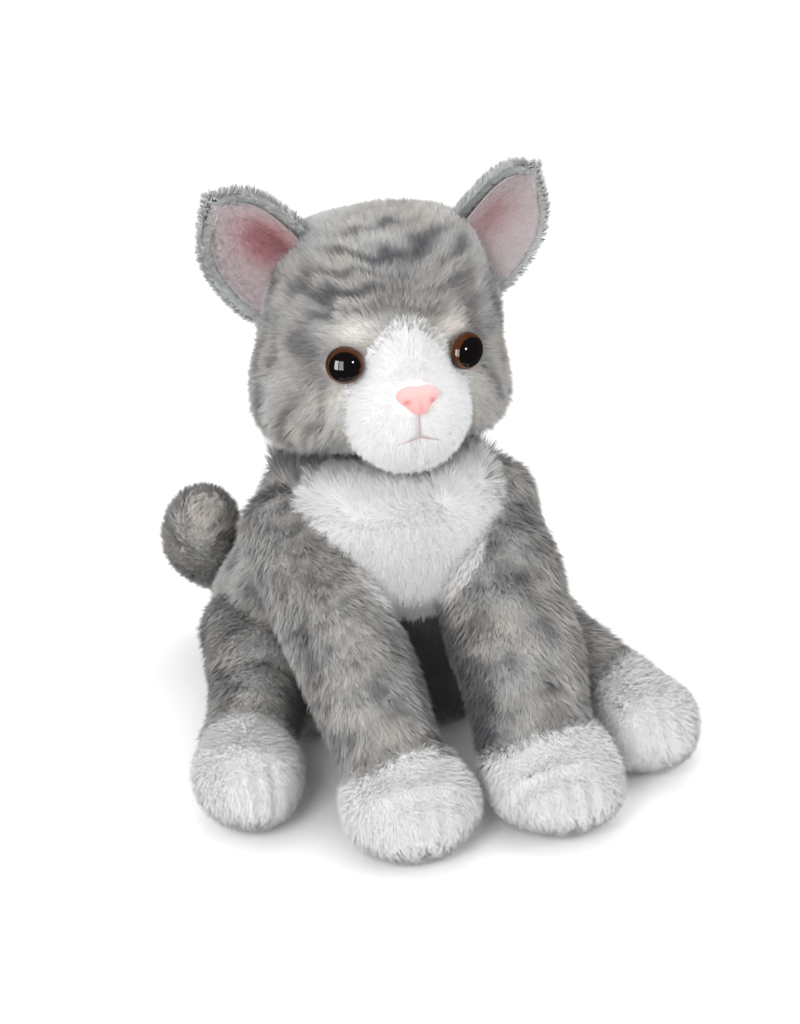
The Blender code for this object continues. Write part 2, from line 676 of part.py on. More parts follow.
def build_limb(prefix, paw, stations, wrist, radius):
    """Sleeve with its ball root, a cup over the end, and the filling of both."""
    centre = stations[0][:3]
    along = first_direction(stations)
    stuff = -COVER - FIT_GAP
    sleeve = np.linspace(0.0, wrist, 6)
    outer, line = limb_rings(stations, sleeve)
    inner, _ = limb_rings(stations, sleeve, -COVER)
    fill, _ = limb_rings(stations, sleeve, stuff)
    outer = root_rings(centre, radius, along, ROOT_ANGLES) + outer
    inner = root_rings(centre, radius - COVER, along, ROOT_INNER_ANGLES) + inner
    add_object(prefix + "_cover", *skin(outer + inner[::-1], cyclic=True, back=len(outer)), GREY_PILE)
    core = root_rings(centre, radius + stuff, along, ROOT_INNER_ANGLES) + fill
    back_end = centre - along * (radius + stuff) * 0.95
    add_object(prefix + "_filling", *skin(core, back_end, line[-1][:3]), FIBRE)
    last = len(stations) - 1.0
    toe = wrist + (last - wrist) * np.linspace(0.0, 1.0, 8) ** 0.9
    outer, line = limb_rings(stations, toe, 0.0, SIDEWAYS, SEAM_GAP)
    inner, _ = limb_rings(stations, toe[:-2], -COVER, SIDEWAYS, SEAM_GAP)
    fill, _ = limb_rings(stations, toe[:-2], stuff, SIDEWAYS, SEAM_GAP)
    ahead = unit(line[-1][:3] - line[-2][:3])
    tip = line[-3][:3] + ahead * 0.0012
    cup = skin(inner[::-1] + outer, tip, line[-1][:3] + ahead * 0.0014, back=0)
    add_object(paw + "_cover", *cup, WHITE_PILE)
    start = line[0][:3] + unit(line[1][:3] - line[0][:3]) * SEAM_GAP
    add_object(paw + "_filling", *skin(fill, start, tip - ahead * FIT_GAP), FIBRE)


def fan_cutter(name, stations, radius, axis, angles, reach):
    """Hull of the limb root over its travel, grown by the joint clearance."""
    rings, _ = limb_rings(stations, np.linspace(0.0, reach, 4), JOINT_GAP)
    centre = np.array(stations[0][:3])
    grown = (radius + JOINT_GAP) / math.cos(math.pi / 14) ** 2
    cloud = [centre + grown * np.array([math.sin(a) * math.cos(f), math.sin(a) * math.sin(f), math.cos(a)])
             for a in np.linspace(0, math.pi, 8) for f in np.linspace(0, 2 * math.pi, 14, endpoint=False)]
    axis = unit(axis)
    for angle in angles:
        c, s = math.cos(math.radians(angle)), math.sin(math.radians(angle))
        for ring in rings:
            for p in ring:
                v = p - centre
                cloud.append(centre + v * c + np.cross(axis, v) * s + axis * (axis @ v) * (1 - c))
    bm = bmesh.new()
    for p in cloud:
        bm.verts.new(tuple(p))
    bmesh.ops.remove_doubles(bm, verts=bm.verts, dist=1e-5)
    out = bmesh.ops.convex_hull(bm, input=bm.verts)
    loose = [g for g in out["geom_interior"] + out["geom_unused"] if isinstance(g, bmesh.types.BMVert)]
    bmesh.ops.delete(bm, geom=list(set(loose)), context="VERTS")
    bmesh.ops.recalc_face_normals(bm, faces=bm.faces)
    mesh = bpy.data.meshes.new(name)
    bm.to_mesh(mesh)
    bm.free()
    ob = bpy.data.objects.new(name, mesh)
    bpy.context.scene.collection.objects.link(ob)
    return as_cutter(ob)


FORELEG = [
    (*SHOULDER, FORELEG_ROOT_RADIUS, FORELEG_ROOT_RADIUS),
    (0.0480, -0.0380, 0.0920, FORELEG_RADIUS - 0.0020, FORELEG_RADIUS - 0.0030),
    (0.0415, -0.0780, 0.0660, FORELEG_RADIUS, FORELEG_RADIUS - 0.0020),
    (0.0370, -0.1130, 0.0400, FORELEG_RADIUS - 0.0020, FORELEG_RADIUS - 0.0055),
    (0.0355, -0.1300, 0.0285, FOREPAW_HALF_WIDTH - 0.0010, FOREPAW_HALF_HEIGHT),
    (0.0350, -0.1440, 0.0220, FOREPAW_HALF_WIDTH - 0.0010, FOREPAW_HALF_HEIGHT),
    (0.0345, -0.1550, 0.0205, FOREPAW_HALF_WIDTH - 0.0090, FOREPAW_HALF_HEIGHT - 0.0055),
    (0.0342, -0.1605, 0.0198, FOREPAW_HALF_WIDTH - 0.0180, FOREPAW_HALF_HEIGHT - 0.0120),
    (0.0340, -0.1630, 0.0195, 0.0065, 0.0055),
]
HINDLEG = [
    (*HIP, HINDLEG_ROOT_RADIUS, HINDLEG_ROOT_RADIUS),
    (0.0650, -0.0090, 0.0385, HINDLEG_RADIUS + 0.0030, HINDLEG_RADIUS + 0.0030),
    (0.0755, -0.0400, 0.0340, HINDLEG_RADIUS, HINDLEG_RADIUS),
    (0.0880, -0.0690, 0.0290, HINDLEG_RADIUS - 0.0025, HINDLEG_RADIUS - 0.0035),
    (0.0920, -0.0840, 0.0255, HINDPAW_HALF_WIDTH - 0.0005, HINDPAW_HALF_HEIGHT),
    (0.0955, -0.0970, 0.0230, HINDPAW_HALF_WIDTH - 0.0010, HINDPAW_HALF_HEIGHT),
    (0.0980, -0.1080, 0.0220, HINDPAW_HALF_WIDTH - 0.0080, HINDPAW_HALF_HEIGHT - 0.0055),
    (0.0990, -0.1135, 0.0215, HINDPAW_HALF_WIDTH - 0.0160, HINDPAW_HALF_HEIGHT - 0.0125),
    (0.0995, -0.1160, 0.0212, 0.0065, 0.0055),
]
TAIL = [
    (*TAIL_ROOT, TAIL_RADIUS, TAIL_RADIUS),
    (-0.0280, TORSO_BACK + 0.0080, 0.0340, TAIL_RADIUS, TAIL_RADIUS),
    (-0.0560, TORSO_BACK + 0.0070, 0.0460 * TALL, TAIL_RADIUS, TAIL_RADIUS),
    (-0.0740, TORSO_BACK - 0.0080, 0.0660 * TALL, TAIL_RADIUS, TAIL_RADIUS),
    (-0.0770, TORSO_BACK - 0.0220, 0.0840 * TALL, TAIL_RADIUS - 0.0010, TAIL_RADIUS - 0.0010),
    (-0.0770, TORSO_BACK - 0.0290, 0.0940 * TALL, 0.0150, 0.0150),
    (-0.0768, TORSO_BACK - 0.0320, 0.0985 * TALL, 0.0070, 0.0070),
]
FORE_WRIST = 3.5
HIND_WRIST = 3.0

for mirror, label in ((-1.0, "right"), (1.0, "left")):
    flip = np.array([mirror, 1.0, 1.0, 1.0, 1.0])
    fore = [np.array(s) * flip for s in FORELEG]
    hind = [np.array(s) * flip for s in HINDLEG]
    # both front paws lie a little to the cat's left, and its left hind paw lies further forward
    for station in fore[1:]:
        station[0] += FORELEG_SWAY * min(1.0, (SHOULDER[1] - station[1]) / 0.120)
    if mirror > 0:
        for station in hind[1:]:
            share = min(1.0, (HIP[1] - station[1]) / 0.100)
            station[0] += 0.6 * HINDLEG_REACH * share
            station[1] -= HINDLEG_REACH * share
    build_limb("foreleg_" + label, "forepaw_" + label, fore, FORE_WRIST, FORELEG_ROOT_RADIUS)
    build_limb("hindleg_" + label, "hindpaw_" + label, hind, HIND_WRIST, HINDLEG_ROOT_RADIUS)
    travel = np.linspace(-FORELEG_UP, FORELEG_DOWN, 3)
    fore_fan = fan_cutter("fore_fan_" + label, fore, FORELEG_ROOT_RADIUS, SIDEWAYS, travel, 2.0)
    outward = np.linspace(0.0, HINDLEG_OUT, 3) * mirror
    hind_fan = fan_cutter("hind_fan_" + label, hind, HINDLEG_ROOT_RADIUS, UPWARD, outward, 2.0)
    for ob in (torso_cover, torso_filling):
        cut(ob, fore_fan)
        cut(ob, hind_fan)
    cut(chest_bib, fore_fan)

# ---------------------------------------------------------------- tail
steps = np.linspace(0.0, len(TAIL) - 1.0, 13)
stuff = -COVER - FIT_GAP
outer, line = limb_rings(TAIL, steps, 0.0, UPWARD)
inner, _ = limb_rings(TAIL, steps[:-3], -COVER, UPWARD)
fill, _ = limb_rings(TAIL, steps[:-3], stuff, UPWARD)
along = first_direction(TAIL)
ahead = unit(line[-1][:3] - line[-2][:3])
root = root_rings(TAIL_ROOT, TAIL_RADIUS, along, ROOT_ANGLES, UPWARD)
hollow = root_rings(TAIL_ROOT, TAIL_RADIUS - COVER, along, ROOT_INNER_ANGLES, UPWARD)
core = root_rings(TAIL_ROOT, TAIL_RADIUS + stuff, along, ROOT_INNER_ANGLES, UPWARD)
tip = line[-4][:3] + ahead * 0.0012
shell = (hollow + inner)[::-1] + root + outer
verts, faces = skin(shell, tip, line[-1][:3] + ahead * 0.0016, back=0)
add_object("tail_cover", verts, faces, GREY_PILE)
verts, faces = skin(core + fill, TAIL_ROOT - along * (TAIL_RADIUS + stuff) * 0.95, tip - ahead * FIT_GAP)
add_object("tail_filling", verts, faces, FIBRE)
swing = np.linspace(-TAIL_OUT, TAIL_IN, 3)
tail_fan = fan_cutter("tail_fan", TAIL, TAIL_RADIUS, UPWARD, swing, 3.0)
for ob in (torso_cover, torso_filling):
    cut(ob, tail_fan)
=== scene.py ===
import bpy
import bmesh
import math
import numpy as np
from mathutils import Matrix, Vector
from mathutils.kdtree import KDTree


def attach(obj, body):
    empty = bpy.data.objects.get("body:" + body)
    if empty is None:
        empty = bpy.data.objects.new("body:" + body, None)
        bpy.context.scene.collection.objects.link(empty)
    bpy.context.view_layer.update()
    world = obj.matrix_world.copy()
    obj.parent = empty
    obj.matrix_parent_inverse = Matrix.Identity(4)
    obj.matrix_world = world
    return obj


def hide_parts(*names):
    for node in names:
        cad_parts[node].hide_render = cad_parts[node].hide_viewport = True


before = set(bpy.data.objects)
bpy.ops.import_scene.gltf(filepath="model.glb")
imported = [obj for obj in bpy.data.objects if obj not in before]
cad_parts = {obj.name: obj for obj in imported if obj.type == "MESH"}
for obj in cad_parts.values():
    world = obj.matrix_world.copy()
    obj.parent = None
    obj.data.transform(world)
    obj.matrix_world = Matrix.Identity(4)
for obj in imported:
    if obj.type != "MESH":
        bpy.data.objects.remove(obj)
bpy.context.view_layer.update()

# ---------------------------------------------------------------- sizes, as in the CAD model
HEAD_HALF = np.array([0.0610, 0.0460, 0.0600])
NECK_BALL = 0.0550
TORSO_HEIGHT, TORSO_HALF_WIDTH, TORSO_FRONT, TORSO_BACK = 0.1400, 0.0820, 0.0500, 0.0880
HEAD = np.array([0.0, 0.0040, 0.1994])
EAR_WIDTH, EAR_HEIGHT = 0.0500, 0.0450
EYE_RADIUS, NOSE_WIDTH = 0.0090, 0.0210
SHOULDER = np.array([0.0520, -0.0100, 0.1080])
HIP = np.array([0.0590, 0.0160, 0.0400])
TAIL_ROOT = np.array([-0.0060, TORSO_BACK - 0.0140, 0.0340])
FORE_ROOT, HIND_ROOT, TAIL_RADIUS = 0.0240, 0.0300, 0.0205
FORELEG_SWAY, HINDLEG_REACH = 0.0040, 0.0080
CHEEK_CENTRE, CHEEK_SIZE = np.array([0.0230, 0.002, -0.0250]), np.array([0.0400, 0.0400, 0.0310])
SNOUT_CENTRE, SNOUT_SIZE = np.array([0.0, -0.0225, -0.0300]), np.array([0.0350, 0.0335, 0.0280])
EAR_CUP = 0.0110

# ---------------------------------------------------------------- sizes of the visual model
INSET = 0.0048  # backings lie this far under the CAD covers
HEAD_ROOM = 0.0560  # torso and bib stay outside this radius round the head's centre
GROUND = 0.0020  # lowest height of a backing
STRAND_GROUND = 0.0004  # lowest height of a strand's tip
STRANDS_PER_PIECE = 50000
THIN = 1.0


# ---------------------------------------------------------------- arithmetic
def unit(v):
    v = np.asarray(v, float)
    return v / np.maximum(np.linalg.norm(v, axis=-1, keepdims=True), 1e-12)


def ease(v, low, high):
    t = np.clip((v - low) / (high - low), 0.0, 1.0)
    return t * t * (3.0 - 2.0 * t)


def bell(v, centre, width):
    return np.exp(-((v - centre) / width) ** 2)


def circle(turns, side, up):
    """Points of the unit circle that runs from side towards up."""
    return np.cos(turns)[:, None] * side + np.sin(turns)[:, None] * up


def waves(p, size, seed, count=9):
    """Smooth cloudy field of about unit spread; size is the usual width of a cloud in metres."""
    r = np.random.default_rng(seed)
    k = unit(r.normal(size=(count, 3))) * (math.tau / size) * r.uniform(0.45, 1.3, (count, 1))
    return np.sin(p @ k.T + r.uniform(0, math.tau, count)).sum(1) / math.sqrt(count / 2)


def spline(stations, params):
    """Catmull-Rom samples through stations; params count stations from 0."""
    pts = np.array(stations, float)
    pts = np.vstack([2 * pts[0] - pts[1], pts, 2 * pts[-1] - pts[-2]])
    s = np.clip(params, 0.0, len(pts) - 3.0 - 1e-9)
    i = s.astype(int)
    t = (s - i)[:, None]
    a, b, c, d = pts[i], pts[i + 1], pts[i + 2], pts[i + 3]
    square, cube = 2 * a - 5 * b + 4 * c - d, 3 * b - a - 3 * c + d
    return 0.5 * (2 * b + (c - a) * t + square * t * t + cube * t ** 3)


# ---------------------------------------------------------------- surfaces: (points, triangles, normals, s)
def vertex_normals(v, t):
    face = np.cross(v[t[:, 1]] - v[t[:, 0]], v[t[:, 2]] - v[t[:, 0]])
    out = np.zeros_like(v)
    for k in range(3):
        np.add.at(out, t[:, k], face)
    return unit(out)


def surface(rows, wrap=True, start=None, end=None, s=None):
    """Triangulated grid of rows x columns, closed across the columns, with optional end points."""
    rows = np.asarray(rows, float)
    m, n = rows.shape[:2]
    v = rows.reshape(-1, 3)
    i = np.arange(m - 1)[:, None] * n
    j = np.arange(n if wrap else n - 1)[None, :]
    a = (i + j).ravel()
    b = (i + (j + 1) % n).ravel()
    tri = np.vstack([np.stack([a, b, b + n], 1), np.stack([a, b + n, a + n], 1)])
    s = np.zeros(m) if s is None else np.asarray(s, float)
    sv = np.repeat(s, n)
    ring = np.arange(n)
    for point, base, flip, value in ((start, 0, True, s[0]), (end, (m - 1) * n, False, s[-1])):
        if point is not None:
            v = np.vstack([v, point])
            sv = np.append(sv, value)
            c = np.full(n, len(v) - 1)
            one, two = base + ring, base + (ring + 1) % n
            tri = np.vstack([tri, np.stack([c, two, one] if flip else [c, one, two], 1)])
    return outward([v, tri, vertex_normals(v, tri), sv])


def outward(skin):
    v, t = skin[0], skin[1]
    volume = np.einsum("ij,ij->i", v[t[:, 0]], np.cross(v[t[:, 1]], v[t[:, 2]])).sum()
    return turned(skin, volume < 0)


def turned(skin, wrong_way):
    """The surface, turned over when its normals look the wrong way."""
    if wrong_way:
        skin[1] = skin[1][:, ::-1].copy()
        skin[2] = -skin[2]
    return skin


def toned(tone, skin):
    """The tone attribute of a backing."""
    return {"tone": np.clip(tone(skin[0], None, skin[3]), 0, 1)}


def dress(name, skin, mat, body, attrs=None, replaced=()):
    """The mesh object of a surface, with point attributes, riding on its body."""
    v, t, n = skin[:3]
    mesh = bpy.data.meshes.new(name)
    mesh.vertices.add(len(v))
    mesh.vertices.foreach_set("co", v.ravel())
    mesh.loops.add(t.size)
    mesh.loops.foreach_set("vertex_index", t.ravel().astype(np.int32))
    mesh.polygons.add(len(t))
    mesh.polygons.foreach_set("loop_start", (np.arange(len(t)) * 3).astype(np.int32))
    mesh.update(calc_edges=True)
    mesh.shade_smooth()
    for key, value in (attrs or {}).items():
        data = mesh.attributes.new(key, "FLOAT", "POINT").data
        data.foreach_set("value", np.ascontiguousarray(value, float))
    mesh.materials.append(mat)
    ob = bpy.data.objects.new(name, mesh)
    bpy.context.scene.collection.objects.link(ob)
    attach(ob, body)
    if replaced:
        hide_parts(*replaced)
    return ob


def fur(name, skin, body, mat, per_mm2, length, lean, comb, tone, keep=None, width=0.00036,
        clump=6, pull=0.36, seed=1, stray=0.14, sway=0.22, soft=0.20, pace=None):
    """Pile: thin closed spikes rooted on a surface, combed, and drawn together in small locks."""
    v, t, n, sv = skin
    r = np.random.default_rng(seed)
    a, b, c = (v[t[:, k]] for k in range(3))
    area = 0.5 * np.linalg.norm(np.cross(b - a, c - a), axis=1)
    count = int(area.sum() * 1e6 * per_mm2 * THIN)
    pick = np.minimum(np.searchsorted(np.cumsum(area) / area.sum(), r.random(count)), len(t) - 1)
    w = r.random((count, 2))
    over = w.sum(1) > 1
    w[over] = 1 - w[over]
    w = np.column_stack([1 - w.sum(1), w])
    tp = t[pick]
    p = np.einsum("ij,ijk->ik", w, v[tp])
    nn = unit(np.einsum("ij,ijk->ik", w, n[tp]))
    s = np.einsum("ij,ij->i", w, sv[tp])
    if keep is not None:
        ok = keep(p, nn, s) > r.random(count)
        p, nn, s = p[ok], nn[ok], s[ok]
        count = len(p)
    centres = r.permutation(count)[:max(count // clump, 1)]
    tree = KDTree(len(centres))
    for i, k in enumerate(centres):
        tree.insert(p[k], i)
    tree.balance()
    group = np.array([tree.find(q)[1] for q in p])
    lock = r.normal(size=(len(centres), 3))
    lock_tone = r.normal(size=len(centres))
    lock_long = r.uniform(0.82, 1.12, len(centres))
    flow = comb(p, nn, s)
    flow = unit(flow - nn * (flow * nn).sum(1)[:, None])
    ang = np.radians(lean(p, nn, s) if callable(lean) else np.full(count, lean))
    ang = ang + np.radians(5.0) * lock_tone[group]
    flow = unit(flow + sway * lock[group] + stray * r.normal(size=(count, 3)))
    flow = unit(flow - nn * (flow * nn).sum(1)[:, None])
    d = np.cos(ang)[:, None] * nn + np.sin(ang)[:, None] * flow
    size = (length(p, nn, s) if callable(length) else np.full(count, length)) * lock_long[group]
    size = size * r.uniform(0.80, 1.10, count)
    tip = p + d * size[:, None]
    lead = tip[centres][group]
    tip = tip + (lead - tip) * pull * np.minimum(1.0, size / 0.004)[:, None]
    tip[:, 2] = np.maximum(tip[:, 2], STRAND_GROUND)
    run = 0.0 if pace is None else ((tip - p) * flow).sum(1) / pace
    vary = 0.030 * lock_tone[group] + 0.030 * r.normal(size=count)
    low_tone = np.clip(tone(p, nn, s) + vary, 0.0, 1.0)
    tip_tone = np.clip(tone(tip, nn, s + run) + vary, 0.0, 1.0)
    shade = np.stack([low_tone, low_tone, low_tone, tip_tone], 1)
    along = unit(tip - p)
    side = unit(np.cross(along, nn))
    up = np.cross(side, along)
    half = 0.5 * width * r.uniform(0.75, 1.25, count)[:, None]
    root = p - nn * 0.0005
    quad = np.stack([root + side * half, root - side * half, root + up * half * 0.8, tip], 1)
    jitter = 0.10 * r.normal(size=(count, 3))
    normal = np.stack([nn + soft * side + jitter, nn - soft * side + jitter, nn + 0.3 * up + jitter,
                       nn + 0.35 * along + jitter], 1)
    normal = unit(normal)
    for part, low in enumerate(range(0, count, STRANDS_PER_PIECE)):
        high = min(low + STRANDS_PER_PIECE, count)
        m = high - low
        base = np.arange(m)[:, None, None] * 4
        tri = (base + np.array([[0, 1, 3], [1, 2, 3], [2, 0, 3], [0, 2, 1]])[None]).reshape(-1, 3)
        tips = np.tile([0.0, 0.0, 0.0, 1.0], m)
        label = name if count <= STRANDS_PER_PIECE else f"{name}_{part + 1}"
        ob = dress(label, (quad[low:high].reshape(-1, 3), tri, None), mat, body,
                   {"tone": shade[low:high].ravel(), "tip": tips})
        mesh = ob.data
        cells = math.ceil(math.sqrt(m))
        k = np.arange(m)
        cell = np.stack([(k % cells + 0.2) / cells, (k // cells + 0.2) / cells], 1)
        spot = np.array([[0.0, 0.0], [0.12, 0.0], [0.06, 0.02], [0.3, 0.6]]) / cells
        uv = (cell[:, None] + spot[None]).reshape(-1, 2)[tri.ravel()]
        mesh.uv_layers.new(name="OFBake").data.foreach_set("uv", uv.ravel())
        mesh.normals_split_custom_set_from_vertices(normal[low:high].reshape(-1, 3).tolist())


# ---------------------------------------------------------------- materials
def nodes_of(name):
    """A new node material, with short functions that add, mix and join its nodes."""
    mat = bpy.data.materials.new(name)
    mat.use_nodes = True
    tree = mat.node_tree
    bsdf = tree.nodes["Principled BSDF"]

    def add(kind, inputs=None, **props):
        node = tree.nodes.new("ShaderNode" + kind)
        for key, value in props.items():
            setattr(node, key, value)
        for key, value in (inputs or {}).items():
            if isinstance(value, bpy.types.NodeSocket):
                tree.links.new(value, node.inputs[key])
            else:
                node.inputs[key].default_value = value
        return node

    def ramp(fac, stops):
        node = add("ValToRGB", {"Fac": fac})
        el = node.color_ramp.elements
        while len(el) < len(stops):
            el.new(0.5)
        for e, (pos, col) in zip(el, stops):
            e.position = pos
            e.color = (*col, 1.0)
        return node.outputs["Color"]

    def mix(fac, one, two, kind="MIX"):
        node = tree.nodes.new("ShaderNodeMix")
        node.data_type = "RGBA"
        node.blend_type = kind
        for key, value in ((0, fac), (6, one), (7, two)):
            if isinstance(value, bpy.types.NodeSocket):
                tree.links.new(value, node.inputs[key])
            elif key:
                node.inputs[key].default_value = (*value, 1.0)
            else:
                node.inputs[key].default_value = value
        return node.outputs[2]

    def put(**values):
        for key, value in values.items():
            socket = bsdf.inputs[key.replace("_", " ")]
            if isinstance(value, bpy.types.NodeSocket):
                tree.links.new(value, socket)
            else:
                socket.default_value = value

    def bump(height, strength, distance):
        node = add("Bump", {"Height": height, "Strength": strength, "Distance": distance})
        tree.links.new(node.outputs[0], bsdf.inputs["Normal"])

    place = add("TexCoord").outputs["Object"]
    return mat, add, ramp, mix, put, bump, place


def pile_material(name, stops, warm, cool, root=0.80, tip=1.08, strand=True):
    """Dyed pile: the tone attribute runs through the dye colours, with cloudy warm and cool tints. Strands
    are painted darker at the root and lighter at the tip (painted shade deep in the pile, painted light on
    the tips); backings get a fine grain that also darkens them as painted shade under the pile.
    """
    mat, add, ramp, mix, put, bump, place = nodes_of(name)
    colour = ramp(add("Attribute", attribute_name="tone").outputs["Fac"], stops)
    cloud = add("TexNoise", {"Vector": place, "Scale": 34.0, "Detail": 3.0, "Roughness": 0.55})
    tint = ramp(cloud.outputs["Fac"], [(0.36, cool), (0.64, warm)])
    colour = mix(1.0, colour, tint, "MULTIPLY")
    fine = add("TexNoise", {"Vector": place, "Scale": 700.0, "Detail": 2.0})
    if strand:
        # painted shade and light along each strand: darker at the root, lighter at the tip
        tips = add("MapRange", {"Value": add("Attribute", attribute_name="tip").outputs["Fac"],
                                "To Min": root, "To Max": tip})
        colour = mix(1.0, colour, tips.outputs[0], "MULTIPLY")
    else:
        # fine grain, which also darkens the backing overall as painted shade under the pile
        grain_and_pile_shade = ramp(fine.outputs["Fac"], [(0.3, (0.78,) * 3), (0.7, (0.95,) * 3)])
        colour = mix(1.0, colour, grain_and_pile_shade, "MULTIPLY")
        bump(fine.outputs["Fac"], 0.6, 0.0006)
    put(Base_Color=colour, Roughness=0.88, Specular_IOR_Level=0.22, Sheen_Weight=0.22, Sheen_Roughness=0.45)
    return mat


GREY_STOPS = [(0.0, (0.10, 0.104, 0.113)), (0.28, (0.225, 0.228, 0.234)), (0.52, (0.46, 0.46, 0.452)),
              (0.78, (0.69, 0.685, 0.67)), (1.0, (0.95, 0.95, 0.95))]
WHITE_STOPS = [(0.0, (0.90, 0.902, 0.91)), (0.6, (0.965, 0.967, 0.972)), (1.0, (0.985, 0.985, 0.99))]
WARM, COOL = (1.05, 0.985, 0.93), (0.985, 0.99, 0.995)
WHITE_WARM, WHITE_COOL = (1.0, 0.998, 0.992), (0.992, 0.996, 1.0)
EAR_WARM, EAR_COOL = (1.0, 1.0, 0.985), (0.985, 1.0, 1.01)
GREY_FUR = pile_material("grey_tabby_fur", GREY_STOPS, WARM, COOL)
GREY_SKIN = pile_material("grey_tabby_backing", GREY_STOPS, WARM, COOL, strand=False)
WHITE_FUR = pile_material("white_fur", WHITE_STOPS, WHITE_WARM, WHITE_COOL, 1.0, 1.0)
WHITE_SKIN = pile_material("white_backing", WHITE_STOPS, WHITE_WARM, WHITE_COOL, strand=False)
EAR_STOPS = [(0.0, (0.44, 0.45, 0.45)), (0.6, (0.64, 0.655, 0.65)), (1.0, (0.80, 0.81, 0.80))]
EAR_FUR = pile_material("ear_back_fur", EAR_STOPS, EAR_WARM, EAR_COOL, 0.85, 1.08)
EAR_SKIN = pile_material("ear_back_backing", EAR_STOPS, EAR_WARM, EAR_COOL, strand=False)

mat, add, ramp, mix, put, bump, place = nodes_of("ear_lining_velour")
VELOUR = mat
blush = add("Attribute", attribute_name="blush").outputs["Fac"]
cloud = add("TexNoise", {"Vector": place, "Scale": 90.0, "Detail": 3.0})
nap = add("TexNoise", {"Vector": place, "Scale": 1600.0, "Detail": 2.0})
colour = ramp(blush, [(0.0, (0.52, 0.482, 0.487)), (0.35, (0.50, 0.415, 0.425)), (0.7, (0.45, 0.29, 0.30)),
                      (1.0, (0.36, 0.17, 0.185))])
clouded = ramp(cloud.outputs["Fac"], [(0.3, (0.93, 0.91, 0.92)), (0.7, (1.0, 1.0, 1.0))])
colour = mix(1.0, colour, clouded, "MULTIPLY")
# painted shade: the lining is darkened along its fold in towards the head
painted_fold_shade = add("Attribute", attribute_name="painted_fold_shade").outputs["Fac"]
colour = mix(painted_fold_shade, colour, (0.16, 0.075, 0.07))
put(Base_Color=colour, Roughness=0.9, Sheen_Weight=0.12, Sheen_Roughness=0.4, Specular_IOR_Level=0.15)
bump(nap.outputs["Fac"], 0.35, 0.0003)

LINING_STOPS = [(0.0, (0.66, 0.615, 0.62)), (0.35, (0.64, 0.53, 0.545)), (0.7, (0.57, 0.37, 0.385)),
                (1.0, (0.46, 0.22, 0.24))]
VELOUR_FUR = pile_material("ear_lining_nap", LINING_STOPS, (1.0, 0.985, 0.985), (1.0, 1.0, 1.0), 0.92, 1.04)

mat, add, ramp, mix, put, bump, place = nodes_of("nose_flock")
NOSE = mat
# painted light and shade: the nose's pink runs lighter towards its top and deeper underneath, by height
high = add("SeparateXYZ", {"Vector": place})
shade = add("MapRange", {"Value": high.outputs["Z"], "From Min": 0.178, "From Max": 0.195})
colour = ramp(shade.outputs[0], [(0.0, (0.74, 0.34, 0.33)), (0.55, (0.80, 0.44, 0.42)),
                                 (1.0, (0.86, 0.58, 0.56))])
flock = add("TexNoise", {"Vector": place, "Scale": 1500.0, "Detail": 2.0})
flocked = ramp(flock.outputs["Fac"], [(0.3, (0.90, 0.88, 0.88)), (0.7, (1.0, 1.0, 1.0))])
colour = mix(1.0, colour, flocked, "MULTIPLY")
# painted shade: the nostril pits and the groove below the nose are coloured darker
pit = add("Attribute", attribute_name="pit").outputs["Fac"]
colour = mix(pit, colour, (0.50, 0.14, 0.15))
put(Base_Color=colour, Roughness=0.72, Sheen_Weight=0.35, Sheen_Roughness=0.5, Specular_IOR_Level=0.3)
bump(flock.outputs["Fac"], 0.30, 0.0002)

mat, add, ramp, mix, put, bump, place = nodes_of("eye_dome")
EYE = mat
ringed = add("Attribute", attribute_name="ring").outputs["Fac"]
fleck = add("TexNoise", {"Vector": place, "Scale": 900.0, "Detail": 2.0})
iris = mix(fleck.outputs["Fac"], (0.040, 0.012, 0.004), (0.095, 0.031, 0.010))
low = add("Attribute", attribute_name="low").outputs["Fac"]
iris = mix(low, iris, (0.15, 0.052, 0.016))
edge = ramp(ringed, [(0.0, (0.0,) * 3), (0.79, (0.0,) * 3), (0.84, (1.0,) * 3), (1.0, (1.0,) * 3)])
rim = ramp(ringed, [(0.0, (1.0,) * 3), (0.90, (1.0,) * 3), (0.985, (0.15,) * 3)])
colour = mix(edge, (0.0035, 0.0028, 0.0026), mix(1.0, iris, rim, "MULTIPLY"))
put(Base_Color=colour, Roughness=0.03, IOR=1.49, Specular_IOR_Level=0.45)

mat, add, ramp, mix, put, bump, place = nodes_of("mouth_thread_pink")
THREAD = mat
twist = add("TexWave", {"Vector": place, "Scale": 900.0, "Distortion": 1.0}, bands_direction="DIAGONAL")
colour = mix(twist.outputs["Fac"], (0.36, 0.21, 0.19), (0.60, 0.42, 0.39))
put(Base_Color=colour, Roughness=0.8, Sheen_Weight=0.2)
bump(twist.outputs["Fac"], 0.5, 0.0002)


def hidden_material(name, light, dark, scale, roughness, kind="TexNoise"):
    mat, add, ramp, mix, put, bump, place = nodes_of(name)
    grain = add(kind, {"Vector": place, "Scale": scale})
    fac = grain.outputs["Fac"] if "Fac" in grain.outputs else grain.outputs[0]
    put(Base_Color=mix(fac, dark, light), Roughness=roughness)
    bump(fac, 0.4, 0.0003)
    return mat


POUCH = hidden_material("pouch_weave", (0.80, 0.79, 0.73), (0.62, 0.60, 0.54), 900.0, 0.9, "TexChecker")
PLASTIC = hidden_material("washer_moulded", (0.86, 0.86, 0.84), (0.78, 0.78, 0.76), 400.0, 0.42)
NECK = hidden_material("neck_weave", (0.44, 0.43, 0.42), (0.30, 0.29, 0.29), 1100.0, 0.9, "TexChecker")
IRIS = hidden_material("iris_plastic", (0.20, 0.08, 0.03), (0.10, 0.035, 0.012), 500.0, 0.35)
for node, mat in (("pellet_pouch", POUCH), ("neck_panel", NECK), ("nose_washer", PLASTIC),
                  ("eye_washer_left", PLASTIC), ("eye_washer_right", PLASTIC),
                  ("eye_iris_left", IRIS), ("eye_iris_right", IRIS)):
    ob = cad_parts[node]
    ob.data.materials.clear()
    ob.data.materials.append(mat)


